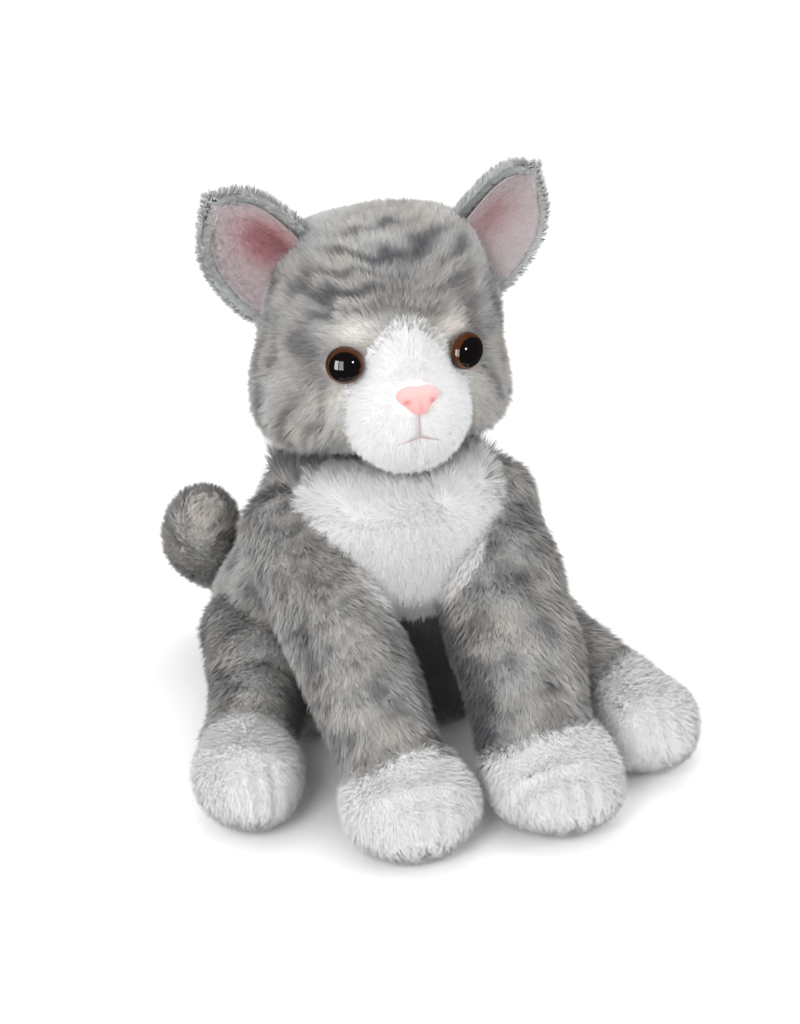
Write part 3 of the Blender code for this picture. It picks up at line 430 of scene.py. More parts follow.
# ---------------------------------------------------------------- head surface
def lobe(u, centre, size):
    """Reach, in directions u, of an ellipsoid that stands off the head's centre."""
    c, d = centre / size, u / size
    dd, dc, cc = (d * d).sum(-1), (d * c).sum(-1), (c * c).sum(-1)
    root = dc * dc - dd * (cc - 1.0)
    return np.where(root > 0.0, (dc + np.sqrt(np.maximum(root, 0.0))) / dd, 0.0)


def swell(low, high, blend=0.010):
    """The larger of two reaches, with a soft join."""
    h = np.maximum(blend - np.abs(low - high), 0.0) / blend
    return np.maximum(low, high) + h * h * blend * 0.25


def head_radius(u):
    egg = 1.0 / np.sqrt(((u / HEAD_HALF) ** 2).sum(-1))
    low = ease(-u[..., 2], 0.45, 0.85)
    egg = egg * (1.0 - low) + NECK_BALL * low
    clear = ease(np.degrees(np.arccos(np.clip(-u[..., 2], -1, 1))), 24.0, 38.0)
    folded = np.stack([np.abs(u[..., 0]), u[..., 1], u[..., 2]], -1)
    full = swell(egg, lobe(folded, CHEEK_CENTRE, CHEEK_SIZE))
    snout = swell(full, lobe(u, SNOUT_CENTRE, SNOUT_SIZE))
    full = np.where(u[..., 1] < 0.0, snout, full)
    return egg + (full - egg) * clear


def head_point(u, lift=0.0):
    u = unit(u)
    return HEAD + u * (head_radius(u) + lift)[..., None]


def head_frame(u, step=0.06):
    u = unit(u)
    side = unit(np.cross([0.0, 0.0, 1.0], u))
    up = np.cross(u, side)
    n = unit(np.cross(head_point(u + side * step) - head_point(u - side * step),
                      head_point(u + up * step) - head_point(u - up * step)))
    return n if n @ u > 0 else -n


MUZZLE_AXIS = unit([0.0, -0.0600, -0.0270])
MUZZLE_UP = unit(np.array([0.0, 0.0, 1.0]) - MUZZLE_AXIS * MUZZLE_AXIS[2])


def panel_reach(turn):
    wrapped = np.arctan2(np.sin(turn), np.cos(turn))
    wide = 3.5 * np.exp(-((wrapped - 1.5) / 0.9) ** 2)
    return np.radians(33.5 + wide + 10.5 * np.exp(-(wrapped / 0.42) ** 2))


def panel_share(u):
    """0 at the muzzle's middle, 1 at the edge of the white panel."""
    spread = np.arccos(np.clip(u @ MUZZLE_AXIS, -1, 1))
    turn = np.arctan2(u[:, 0], u @ MUZZLE_UP)
    return spread / panel_reach(turn)


EYES = {}
for side, label in ((-1, "right"), (1, "left")):
    look = unit([side * 0.600, -0.790, -0.030])
    EYES[label] = (head_point(look) - look * 0.0026, unit([side * 0.40, -0.915, 0.03]))
NOSE_LOOK = unit([0.0, -0.0600, -0.0158])
NOSE_SEAT = head_point(NOSE_LOOK, 0.0053)
NOSE_AXIS = head_frame(NOSE_LOOK)
NOSE_SIDE = np.array([-1.0, 0.0, 0.0])
NOSE_UP = unit(np.cross(NOSE_SIDE, NOSE_AXIS))
NOSE_UP = NOSE_UP if NOSE_UP[2] > 0 else -NOSE_UP


def from_axis(p, seat, axis):
    """Distance of points from the line through seat along axis."""
    d = p - seat
    return np.linalg.norm(d - (d @ axis)[:, None] * axis, axis=1)


def icosphere(level):
    bm = bmesh.new()
    bmesh.ops.create_icosphere(bm, subdivisions=level, radius=1.0)
    v = np.array([x.co[:] for x in bm.verts])
    t = np.array([[x.index for x in f.verts] for f in bm.faces])
    bm.free()
    return v, t


# tabby bars of the head: where, half width (both in degrees) and depth; the first set by height, the
# second by the angle round from the face
BROW_BARS = ((31.0, 2.4, 0.36), (42.0, 2.9, 0.56), (52.0, 2.0, 0.40), (62.0, 2.8, 0.56), (74.0, 2.4, 0.44))
SIDE_BARS = ((57.0, 3.2, 0.42), (72.0, 3.4, 0.46), (88.0, 3.8, 0.46), (106.0, 4.0, 0.42),
             (126.0, 4.6, 0.38), (146.0, 4.6, 0.36), (167.0, 4.8, 0.30))


def head_tone(p, n, s):
    u = unit(p - HEAD)
    lon = np.degrees(np.arctan2(u[:, 0], -u[:, 1]))
    lat = np.degrees(np.arcsin(np.clip(u[:, 2], -1, 1)))
    wob = 3.5 * waves(p, 0.045, 11) + 1.5 * waves(p, 0.016, 12)
    gap = ease(waves(p, 0.030, 13), -0.9, 0.5)
    tone = 0.55 + 0.050 * waves(p, 0.030, 14) + 0.03 * waves(p, 0.011, 15) + 0.03 * waves(p, 0.005, 16)
    front = ease(-np.abs(lon), -75.0, -45.0)
    for at, wide, deep in BROW_BARS:
        tone = tone - deep * bell(lat + wob + 0.0022 * lon ** 2, at, wide) * front * (0.40 + 0.60 * gap)
    for at, wide, deep in SIDE_BARS:
        bar = bell(np.abs(lon) + wob * 1.3 + 0.10 * lat, at, wide)
        tone = tone - deep * bar * ease(-lat, -48.0, -25.0) * (0.4 + 0.6 * gap)
    tone = tone + 0.42 * bell(np.abs(lon), 31.0, 13.0) * bell(lat, 18.0, 8.5)
    tone = tone + 0.14 * bell(np.abs(lon), 42.0, 12.0) * bell(lat, -22.0, 10.0)
    tone = tone - 0.20 * bell(np.abs(lon), 60.0, 9.0) * bell(lat, 6.0, 9.0)
    tone = tone - 0.34 * bell(lon, 50.0 - 0.3 * lat, 6.5) * bell(lat, 20.0, 15.0)
    # painted shade: darker under the chin and jaw at the front
    tone = tone - 0.16 * ease(-lat, 34.0, 50.0) * ease(-np.abs(lon), -80.0, -50.0)
    return tone


def head_comb(p, n, s):
    bridge = HEAD + np.array([0.0, -0.050, -0.004])
    d = unit(p - bridge)
    down = np.array([0.0, 0.0, -1.0]) * ease(HEAD[2] + 0.012 - p[:, 2], 0.0, 0.03)[:, None]
    return d + 0.55 * down + np.array([0.0, 0.10, 0.0])


def crown(u):
    """Extra fullness of the pile: the corners of the crown beside the ears, and the cheeks."""
    top = bell(np.abs(u[:, 0]), 0.60, 0.26) * bell(u[:, 2], 0.80, 0.22)
    jowl = bell(np.abs(u[:, 0]), 0.78, 0.30) * bell(u[:, 2], -0.60, 0.26)
    return 0.0046 * top + 0.0022 * bell(u[:, 2], 1.0, 0.35) + 0.0050 * jowl * ease(-u[:, 1], -0.35, 0.25)


dirs, tris = icosphere(6)
lift = np.full(len(dirs), -INSET) + crown(dirs)
spots = head_point(dirs)
for seat, axis in EYES.values():
    near = from_axis(spots, seat, axis)
    lift = lift - 0.0028 * bell(near, 0.0, 0.0085) * (dirs[:, 1] < 0)
    above = from_axis(spots, seat + np.array([0.0, 0.0, 0.0125]), axis)
    lift = lift + 0.0012 * bell(above, 0.0, 0.0090) * (dirs[:, 1] < 0)
lift = lift + 0.0004 * waves(spots, 0.035, 21)
pts = head_point(dirs, lift)
head_skin = outward([pts, tris, vertex_normals(pts, tris), np.zeros(len(pts))])
dress("head_backing", head_skin, GREY_SKIN, "head", toned(head_tone, head_skin),
      ("head_cover", "head_filling"))


def off_eyes(p):
    ok = np.ones(len(p))
    for seat, axis in EYES.values():
        ok = ok * (from_axis(p, seat, axis) > EYE_RADIUS)
    return ok


def head_keep(p, n, s):
    u = unit(p - HEAD)
    return off_eyes(p) * (panel_share(u) > 0.90) * ease(u[:, 2], -0.86, -0.74)


def head_length(p, n, s):
    u = unit(p - HEAD)
    beside = ease(np.abs(u[:, 0]) - 0.9 * np.maximum(-u[:, 1], 0.0), -0.25, 0.25)
    size = 0.0076 + 0.0064 * ease(-u[:, 2], 0.30, 0.72) * beside - 0.0014 * ease(u[:, 2], 0.3, 0.8)
    for seat, axis in EYES.values():
        far = from_axis(p, seat, axis)
        size = size * (0.42 + 0.58 * ease(far, EYE_RADIUS, EYE_RADIUS + 0.010))
    return size * (0.72 + 0.28 * ease(panel_share(u), 0.95, 1.35))


fur("head_pile", head_skin, "head", GREY_FUR, 4.6, head_length, 60.0, head_comb,
    head_tone, head_keep, seed=101)

# ---------------------------------------------------------------- white face panel
turns = np.linspace(0, math.tau, 120, endpoint=False)
steps = np.linspace(0.02, 1.04, 46)
rows = []
for step in steps:
    reach = panel_reach(turns) * step
    radial = circle(turns, MUZZLE_UP, np.array([1.0, 0.0, 0.0]))
    d = np.cos(reach)[:, None] * MUZZLE_AXIS + np.sin(reach)[:, None] * radial
    spot = head_point(d)
    up = 0.0030 - 0.0078 * ease(step, 0.55, 1.04)
    mouth = bell(spot[:, 0], 0.0, 0.0022) * ease(NOSE_SEAT[2] - spot[:, 2], 0.004, 0.010)
    mouth = mouth * ease(spot[:, 2], 0.158, 0.164)
    rows.append(head_point(d, up - 0.0014 * mouth))
muzzle_skin = surface(rows, start=head_point(MUZZLE_AXIS, 0.0030), s=steps)
muzzle_skin = turned(muzzle_skin, muzzle_skin[2][0] @ MUZZLE_AXIS < 0)


def muzzle_tone(p, n, s):
    return 0.62 + 0.10 * waves(p, 0.02, 31) - 0.20 * ease(s, 0.90, 1.04)


def muzzle_comb(p, n, s):
    d = unit(p - (NOSE_SEAT + np.array([0.0, 0.0, -0.001])))
    return d + np.array([0.0, 0.0, -0.25])


def muzzle_keep(p, n, s):
    d = p - NOSE_SEAT
    x, y = d @ NOSE_SIDE, d @ NOSE_UP
    nose = (x / (0.5 * NOSE_WIDTH * 0.96)) ** 2 + (y / (NOSE_WIDTH * 0.34)) ** 2
    return off_eyes(p) * (nose > 1.0)


def muzzle_length(p, n, s):
    far = np.linalg.norm(p - NOSE_SEAT, axis=1)
    size = 0.0032 + 0.0042 * ease(far, 0.010, 0.036)
    for seat, axis in EYES.values():
        size = size * (0.45 + 0.55 * ease(from_axis(p, seat, axis), EYE_RADIUS, EYE_RADIUS + 0.008))
    return size


dress("muzzle_backing", muzzle_skin, WHITE_SKIN, "head", toned(muzzle_tone, muzzle_skin),
      ("muzzle_panel",))
fur("muzzle_pile", muzzle_skin, "head", WHITE_FUR, 6.5, muzzle_length, 56.0, muzzle_comb,
    muzzle_tone, muzzle_keep, width=0.00034, seed=102)

# ---------------------------------------------------------------- eyes
for label, (seat, axis) in EYES.items():
    side = unit(np.cross([0.0, 0.0, 1.0], axis))
    up = np.cross(axis, side)
    turns = np.linspace(0, math.tau, 64, endpoint=False)
    profile = [(0.0006, 0.985), (0.0014, 1.0)]
    profile += [(0.0017 + 0.0062 * math.sin(a), math.cos(a)) for a in np.radians(np.linspace(6, 86, 18))]
    rows = [seat + d * axis + EYE_RADIUS * r * circle(turns, side, up) for d, r in profile]
    dome = surface(rows, start=seat + axis * 0.0006, end=seat + axis * 0.0079)
    d = dome[0] - seat
    inner = -1.0 if label == "left" else 1.0
    x, y = (d @ side) / EYE_RADIUS, (d @ up) / EYE_RADIUS
    toward = np.sign(side[0]) * inner
    ring = np.hypot(x - 0.09 * toward, y - 0.07)
    ring = ring * 0.55 + np.hypot(x, y) * 0.45
    attrs = {"ring": np.clip(ring, 0, 1), "low": ease(-y, 0.15, 0.9) * 0.8}
    dress("eye_dome_" + label, dome, EYE, "head", attrs, ("eye_lens_" + label,))

# ---------------------------------------------------------------- nose
turns = np.linspace(0, math.tau, 96, endpoint=False)


def nose_ring(scale, depth):
    s, c = np.sin(turns), np.cos(turns)
    wide = 0.5 * NOSE_WIDTH * (1.0 - 0.40 * ease(-c, -0.10, 0.80))
    high = NOSE_WIDTH * np.where(c > 0, 0.25, 0.41)
    notch = 1.0 - 0.10 * np.exp(-((np.abs(s) - 0.80) / 0.14) ** 2) * (c < 0)
    dip = 1.0 - 0.16 * np.exp(-(s / 0.26) ** 2) * (c > 0)
    x = wide * np.sign(s) * np.abs(s) ** 0.82 * notch * scale
    y = high * np.sign(c) * np.abs(c) ** 0.9 * dip * scale + NOSE_WIDTH * 0.02 * (1 - scale)
    return NOSE_SEAT + x[:, None] * NOSE_SIDE + y[:, None] * NOSE_UP + depth * NOSE_AXIS


profile = [(0.86, -0.0012), (0.97, 0.0004), (1.0, 0.0018)]
profile += [(math.cos(a), 0.0020 + 0.0040 * math.sin(a)) for a in np.radians(np.linspace(12, 84, 14))]
nose_skin = surface([nose_ring(k, d) for k, d in profile], start=NOSE_SEAT - NOSE_AXIS * 0.0012,
                    end=NOSE_SEAT + NOSE_AXIS * 0.0060)
d = nose_skin[0] - NOSE_SEAT
x, y = d @ NOSE_SIDE, d @ NOSE_UP
pit = bell(np.hypot((np.abs(x) - 0.0062) / 1.5, y + 0.0030), 0.0, 0.0011)
lobes = bell(np.hypot(np.abs(x) - 0.0060, y + 0.0002), 0.0, 0.0036)
front = ease(d @ NOSE_AXIS, 0.001, 0.004)
groove = bell(x, 0.0, 0.0009) * ease(-y, 0.001, 0.005)
moved = nose_skin[0] + NOSE_AXIS * ((0.0007 * lobes - 0.0011 * pit - 0.0005 * groove) * front)[:, None]
nose_skin = [moved, nose_skin[1], vertex_normals(moved, nose_skin[1]), nose_skin[3]]
# the pit attribute carries painted shade into the nostril pits and the groove
dress("nose_flocked", nose_skin, NOSE, "head", {"pit": np.clip(0.8 * pit * front + 0.25 * groove, 0, 1)},
      ("nose",))


# ---------------------------------------------------------------- mouth
def tube(path, radius, sides=10):
    path = np.asarray(path)
    along = unit(np.gradient(path, axis=0))
    side = unit(np.cross(along, [0.0, -1.0, 0.05]))
    up = np.cross(side, along)
    turn = np.linspace(0, math.tau, sides, endpoint=False)
    rows = [p + radius[i] * circle(turn, side[i], up[i]) for i, p in enumerate(path)]
    return surface(rows, start=path[0], end=path[-1])


MOUTH_LIFT, MOUTH_DROP, MOUTH_HALF_WIDTH = 0.0047, 0.0325, 0.0100
arm_x = np.linspace(-MOUTH_HALF_WIDTH, MOUTH_HALF_WIDTH, 60)
arm = np.stack([arm_x, np.full(60, -0.06), -(MOUTH_DROP + 0.0036 * (np.abs(arm_x) / 0.0090) ** 1.3)], 1)
arm = head_point(arm, np.full(60, MOUTH_LIFT))
thick = 0.00034 * (0.45 + 0.55 * ease(MOUTH_HALF_WIDTH - np.abs(arm_x), 0.0, 0.006))
one = tube(arm, thick)
down = np.linspace(0.0215, MOUTH_DROP, 40)
stroke = head_point(np.stack([0 * down, np.full(40, -0.06), -down], 1), np.full(40, MOUTH_LIFT - 0.0002))
two = tube(stroke, np.full(40, 0.00030))
both = [np.vstack([one[0], two[0]]), np.vstack([one[1], two[1] + len(one[0])]), None]
dress("mouth_thread", both, THREAD, "head", None, ("mouth_stitch",))


# ---------------------------------------------------------------- ears
def ear_frame(side):
    mid = unit([side * 0.0500, 0.0040, 0.0330])
    across = unit([side * 0.0330, 0.0060, -0.0390])
    up = unit(mid - across * (mid @ across))
    up = unit(up + np.array([0.0, -0.10, 0.0]))
    up = unit(up - across * (up @ across))
    front = np.cross(across, up)
    return head_point(mid, np.array(0.0022)), across, up, -front if front[1] > 0 else front


def above_head(point, up, gap):
    """Distance along up at which each point clears the head, found by halving."""
    low = np.full(len(point), -0.030)
    high = np.full(len(point), 0.030)
    for _ in range(24):
        mid = 0.5 * (low + high)
        q = point + up * mid[:, None] - HEAD
        out = np.linalg.norm(q, axis=1) > head_radius(unit(q)) + gap
        high = np.where(out, mid, high)
        low = np.where(out, low, mid)
    return high


def ear_sheet(side, t, s, depth, trim=1.0, sink=-0.0070, fold=0.0):
    """Points of an ear: t runs from the head to the tip, s from the inner edge to the outer."""
    root, across, up, front = ear_frame(side)
    full = (1.0 + 0.17 * t) * np.maximum(1.0 - t ** 2.7, 0.0) ** 0.56
    half = np.maximum(0.5 * EAR_WIDTH * full, 0.0006) * trim
    cup = EAR_CUP * (np.abs(s) ** 2.2) * (1.0 - 0.55 * t) * (half / (0.5 * EAR_WIDTH))
    cup = cup + fold * bell(s, -0.62, 0.28) * (1.0 - t) ** 1.5
    place = (root + across * (s * half - 0.0075 * t * t)[:, None]
             + front * (cup + depth - EAR_CUP * 0.35)[:, None])
    base = above_head(place, up, 0.0022) + sink
    height = EAR_HEIGHT * (1.0 - 0.5 * (1.0 - trim)) * (1.0 - 0.10 * s * s * t)
    return place + up * (base + (height - base) * t)[:, None]


def ear_grid(side, depth, trim, sink, rows=34, cols=31, fold=0.0, puff=0.0):
    t = np.linspace(0.0, 0.995, rows) ** 0.85
    s = np.sin(np.linspace(-math.pi / 2, math.pi / 2, cols))
    tt, ss = np.meshgrid(t, s, indexing="ij")
    swell_by = puff * (1.0 - np.abs(ss) ** 3) * (1.0 - tt ** 6)
    pts = ear_sheet(side, tt.ravel(), ss.ravel(), depth + swell_by.ravel(), trim, sink, fold)
    return pts.reshape(rows, cols, 3), tt, ss


def slab_skin(front_grid, back_grid):
    """Closed sheet: the front grid and the back grid joined round their edges."""
    loop = np.concatenate([front_grid, back_grid[:, ::-1]], axis=1)
    return surface(loop, start=loop[0].mean(0), end=loop[-1].mean(0))


for side, label in ((-1, "right"), (1, "left")):
    root, across, up, front = ear_frame(side)
    face, tt, ss = ear_grid(side, -0.0008, 0.955, -0.0070)
    rear, _, _ = ear_grid(side, -0.0026, 0.955, -0.0070, puff=-0.0005)
    back = slab_skin(face, rear)
    body = "ear_" + label

    def ear_tone(p, n, s):
        return 0.60 + 0.10 * waves(p, 0.018, 41) + 0.05 * waves(p, 0.006, 42)

    def ear_keep(p, n, s, front=front):
        return np.where(n @ front > 0.25, 0.6, 1.0)

    def ear_comb(p, n, s, up=up, root=root, across=across):
        return up * 0.9 + 0.9 * across * (((p - root) @ across) / 0.02)[:, None]

    dress("ear_shell_" + label, back, EAR_SKIN, body, toned(ear_tone, back), ("ear_back_" + label,))
    fur("ear_pile_" + label, back, body, EAR_FUR, 7.0, 0.0046, 40.0, ear_comb, ear_tone,
        ear_keep, width=0.00034, seed=110 + side, pull=0.3)
    face, tt, ss = ear_grid(side, 0.0024, 0.76, -0.0060, fold=0.0045)
    rear, _, _ = ear_grid(side, 0.0010, 0.76, -0.0060, fold=0.0045)
    lining = slab_skin(face, rear)
    near = np.concatenate([tt, tt[:, ::-1]], axis=1).ravel()
    wide = np.concatenate([ss, ss[:, ::-1]], axis=1).ravel()
    strength = 1.0 if side < 0 else 0.55
    blush = strength * bell(near, 0.28, 0.42) * bell(wide, -0.36, 0.62) + 0.12 * bell(near, 0.3, 0.5)
    # painted shade along the lining's inner fold, strongest on the right ear
    painted_fold_shade = 0.85 * bell(wide, -0.58, 0.17) * ease(1.0 - near, 0.25, 0.75) * (1.0 if side < 0 else 0.25)
    attrs = {"blush": np.append(np.clip(blush, 0, 1), [0.2, 0.1]),
             "painted_fold_shade": np.append(np.clip(painted_fold_shade, 0, 1), [0, 0])}
    dress("ear_velour_" + label, lining, VELOUR, body, attrs, ("ear_lining_" + label,))

    def nap_tone(p, n, s, root=root, up=up, across=across, strength=strength):
        high = ((p - root) @ up) / EAR_HEIGHT
        wide = ((p - root) @ across) / (0.5 * EAR_WIDTH)
        pink = strength * bell(high, 0.26, 0.42) * bell(wide, -0.28, 0.50) + 0.12 * bell(high, 0.3, 0.5)
        # painted shade: the nap is darkened along the fold by the head, as on the lining
        fold = 0.30 * bell(wide, -0.50, 0.15) * ease(0.75 - high, 0.0, 0.5) * strength
        return pink + fold + 0.03 * waves(p, 0.008, 45)

    def nap_keep(p, n, s, front=front):
        return (n @ front > 0.10) * 1.0

    fur("ear_nap_" + label, lining, body, VELOUR_FUR, 11.0, 0.0019, 38.0, ear_comb, nap_tone,
        nap_keep, width=0.00028, seed=114 + side, pull=0.2)

# ---------------------------------------------------------------- torso
STATIONS = np.array([
    (0.000, 0.66, 0.60, 0.72, 0.00, 0.000), (0.030, 0.80, 0.76, 0.84, 0.00, 0.000),
    (0.110, 0.94, 0.90, 0.96, 0.00, 0.000), (0.250, 1.00, 0.94, 1.00, 0.00, 0.000),
    (0.410, 0.97, 0.94, 0.95, 0.00, 0.000), (0.570, 0.87, 0.98, 0.82, 0.00, 0.000),
    (0.720, 0.76, 1.00, 0.68, 0.00, 0.000), (0.840, 0.69, 1.00, 0.58, 0.06, 0.001),
    (0.940, 0.64, 0.92, 0.52, 0.15, -0.004), (1.010, 0.50, 0.72, 0.43, 0.22, -0.005)])


def torso_ring(k, turns, lift):
    share, width, near, far, tilt, rise = k
    half = TORSO_HALF_WIDTH * width + lift
    front, back = -TORSO_FRONT * near - lift, TORSO_BACK * far + lift
    mid, deep = 0.5 * (front + back), 0.5 * (back - front)
    s, c = np.sin(turns), np.cos(turns)
    x = half * np.sign(s) * np.abs(s) ** 0.92
    y = mid - deep * np.sign(c) * np.abs(c) ** 0.92
    z = TORSO_HEIGHT * share + tilt * (y - HEAD[1]) + rise * s ** 2
    return np.stack([x, y, np.maximum(z, 0.0022)], 1)


def clear_of_head(v):
    """Points pushed out of the ball in which the head turns."""
    d = v - HEAD
    r = np.linalg.norm(d, axis=1)
    return np.where((r < HEAD_ROOM)[:, None], HEAD + d * (HEAD_ROOM / r)[:, None], v)


turns = np.linspace(0, math.tau, 128, endpoint=False)
params = np.linspace(0, len(STATIONS) - 1.0, 72)
ruff = 0.0042 * (0.35 + 0.65 * ease(np.sin(turns), -0.4, 0.6))
rows = [torso_ring(k, turns, -INSET + 0.0012 * ease(p, 5.0, 8.0) + ruff * bell(p, 7.6, 1.2))
        for k, p in zip(spline(STATIONS, params), params)]
last = rows[-1]
rows += [last * (1 - f) + (last.mean(0) + [0, 0, -0.001]) * f for f in np.linspace(0.12, 0.92, 9)]
torso_skin = surface(rows, start=rows[0].mean(0), end=rows[-1].mean(0))
v = torso_skin[0]
v = v + torso_skin[2] * (0.0006 * waves(v, 0.05, 51) + 0.0003 * waves(v, 0.02, 52))[:, None]
v = clear_of_head(v)
v[:, 2] = np.maximum(v[:, 2], GROUND)
torso_skin = [v, torso_skin[1], vertex_normals(v, torso_skin[1]), np.zeros(len(v))]


def bib_amount(p):
    """1 on the white bib, 0 off it: a rounded V on the chest."""
    top, low = 0.143, 0.0735
    t = np.clip((top - p[:, 2]) / (top - low), 0.0, 1.4)
    half = 0.0375 * np.sqrt(np.maximum(1.0 - t ** 2.4, 0.0)) + 0.0010
    edge = half + 0.0012 * waves(p, 0.012, 61)
    return ease(edge - np.abs(p[:, 0]), -0.0012, 0.0012) * (p[:, 1] < 0.0) * (t < 1.06)


def bib_edge(p):
    """White of the bib carried over the inner tops of the forelegs."""
    ahead = -0.050 - p[:, 1]
    t = np.clip((0.140 - p[:, 2] + 0.45 * ahead) / 0.066, 0.0, 1.4)
    half = 0.0365 * np.sqrt(np.maximum(1.0 - t ** 2.4, 0.0)) + 0.0010 * waves(p, 0.010, 62)
    inside = ease(half - np.abs(p[:, 0] + 0.33 * ahead - 0.003), -0.0010, 0.0015)
    return inside * (p[:, 1] < -0.030) * (t < 1.0)


def stripes(s, p, seed, period, deep):
    """Soft broken bands round a limb or the body."""
    phase = s / period + 0.22 * waves(p, 0.040, seed) + 0.10 * waves(p, 0.014, seed + 1)
    band = ease(np.cos(math.tau * phase), 0.05, 0.95)
    return -deep * band * (0.25 + 0.75 * ease(waves(p, 0.022, seed + 2), -0.9, 0.5))


def body_tone(p, n, s):
    tone = 0.48 + 0.070 * waves(p, 0.028, 71) + 0.035 * waves(p, 0.010, 72) + 0.03 * waves(p, 0.005, 74)
    # painted shade: the front of the body between the forelegs is darkened low down
    between = 0.40 * ease(-p[:, 1], 0.020, 0.032) * ease(0.040 - np.abs(p[:, 0]), 0.0, 0.010)
    tone = tone - between * ease(0.080 - p[:, 2], 0.0, 0.010)
    tone = tone + stripes(p[:, 2] + 0.15 * np.abs(p[:, 0]), p, 73, 0.021, 0.32)
    # painted shade: the top of the body, under the head, is darkened
    return tone - 0.10 * ease(p[:, 2], 0.118, 0.140)


def torso_comb(p, n, s):
    low = 1.0 - 1.9 * ease(p[:, 2], 0.108, 0.140)
    return np.array([0.0, 0.0, -1.0]) * low[:, None] + 0.35 * p * np.array([1.0, 1.0, 0.0]) / 0.08


def beyond(p, centre, radius):
    return (np.linalg.norm(p - centre, axis=1) > radius) * 1.0


def torso_length(p, n, s):
    return 0.0088 + 0.0074 * ease(p[:, 2], 0.118, 0.134)


def torso_lean(p, n, s):
    return 60.0 - 12.0 * ease(p[:, 2], 0.118, 0.132)


def torso_keep(p, n, s):
    ok = 1.0 - bib_amount(p)
    for m in (-1.0, 1.0):
        flip = np.array([m, 1.0, 1.0])
        ok = ok * beyond(p, SHOULDER * flip, 0.0195) * beyond(p, HIP * flip, 0.0255)
    ok = ok * beyond(p, HEAD, HEAD_ROOM + 0.0002) * beyond(p, TAIL_ROOT, 0.0165)
    return ok * np.where(n[:, 2] < -0.80, 0.25, 1.0)


dress("torso_backing", torso_skin, GREY_SKIN, "torso", toned(body_tone, torso_skin),
      ("torso_cover", "torso_filling"))
fur("torso_pile", torso_skin, "torso", GREY_FUR, 3.0, torso_length, torso_lean,
    torso_comb, body_tone, torso_keep, seed=120)

# ---------------------------------------------------------------- white bib
grid_t = np.linspace(0.0, 1.0, 40)
rows = []
for t in grid_t:
    share = 1.01 + (0.530 - 1.01) * t
    k = spline(STATIONS, np.interp([share], STATIONS[:, 0], np.arange(len(STATIONS))))[0]
    spread = (0.98 + 0.12 * (1.0 - t)) * math.sqrt(max(1.0 - t ** 4.0, 0.0)) + 0.01
    rows.append(torso_ring(k, np.linspace(-spread, spread, 49) + 0.07, 0.0016 - 0.0050 * ease(t, 0.80, 1.0)))
outer = np.array(rows)
collar = [outer[0] * (1 - f) + (outer[0] * [0.55, 0.30, 1.0] + [0, 0.002, 0.001]) * f
          for f in (0.8, 0.55, 0.3)]
outer = np.array(collar + rows)
grid_t = np.concatenate([[0.0, 0.0, 0.0], grid_t])
bib_skin = surface(outer, wrap=False, s=grid_t)
v = bib_skin[0]
across = np.tile(np.linspace(-1.0, 1.0, outer.shape[1]), len(outer))
v = v + np.array([0.0, 1.0, 0.0]) * (0.0035 * ease(np.abs(across), 0.70, 1.0))[:, None]
v = clear_of_head(v)
bib_skin = [v, bib_skin[1], vertex_normals(v, bib_skin[1]), bib_skin[3]]
bib_skin = turned(bib_skin, bib_skin[2][:, 1].mean() > 0)


def bib_tone(p, n, s):
    return 0.66 + 0.12 * waves(p, 0.016, 81)


def bib_comb(p, n, s):
    rise = 1.9 * ease(0.26 - s, 0.0, 0.26)
    ruffle = np.stack([waves(p, 0.022, 82), 0 * s, waves(p, 0.022, 83)], 1)
    return (np.array([0.0, 0.0, -1.0]) * (1.0 - rise)[:, None] + np.array([6.0, 0.0, 0.0]) * p
            + 0.30 * ruffle)


def bib_length(p, n, s):
    return 0.0078 + 0.0052 * ease(0.20 - s, 0.0, 0.20) + 0.0012 * ease(s, 0.3, 0.8)


dress("bib_backing", bib_skin, WHITE_SKIN, "torso", toned(bib_tone, bib_skin),
      ("chest_bib",))
fur("bib_pile", bib_skin, "torso", WHITE_FUR, 8.0, bib_length, 46.0, bib_comb, bib_tone,
    lambda p, n, s: beyond(p, HEAD, HEAD_ROOM + 0.0002), width=0.00034, seed=121, clump=10, pull=0.30,
    sway=0.35, stray=0.25)


# ---------------------------------------------------------------- limbs and tail
def limb_rows(stations, params, lift, lateral, turns):
    line = spline(stations, params)
    along = unit(spline(stations, params + 0.05)[:, :3] - spline(stations, params - 0.05)[:, :3])
    rows = []
    for p, a in zip(line, along):
        side = unit(lateral - a * (lateral @ a))
        up = np.cross(side, a)
        q = (p[:3] + (p[3] + lift) * np.cos(turns)[:, None] * side
             + (p[4] + lift) * np.sin(turns)[:, None] * up)
        q[:, 2] = np.maximum(q[:, 2], 0.0022)
        rows.append(q)
    return rows


def limb_skin(stations, low, high, lateral, root=None, count=60, lift=-INSET, tip=0.0):
    """Sleeve of a limb between two stations, with its ball root where root is that ball's radius."""
    stations = np.array(stations)
    turns = np.linspace(0, math.tau, 72, endpoint=False)
    params = np.linspace(low, high, count)
    rows = limb_rows(stations, params, lift, lateral, turns)
    s = list(params)
    centre = stations[0][:3]
    a = unit(spline(stations, np.array([0.1]))[0][:3] - centre)
    start = rows[0].mean(0)
    if root:
        side = unit(lateral - a * (lateral @ a))
        up = np.cross(side, a)
        angles = np.radians(np.linspace(20, 84, 10))
        ball = [centre - (root + lift) * math.cos(k) * a
                + (root + lift) * math.sin(k) * circle(turns, side, up) for k in angles]
        rows = ball + rows
        s = [-1.0 + k / 10 for k in range(10)] + s
        start = centre - (root + lift) * a
    end = rows[-1].mean(0) + unit(rows[-1].mean(0) - rows[-2].mean(0)) * tip
    return surface(rows, start=start, end=end, s=s)


def reshape(skin, move):
    v = skin[0] + move
    v[:, 2] = np.maximum(v[:, 2], GROUND)
    return [v, skin[1], vertex_normals(v, skin[1]), skin[3]]


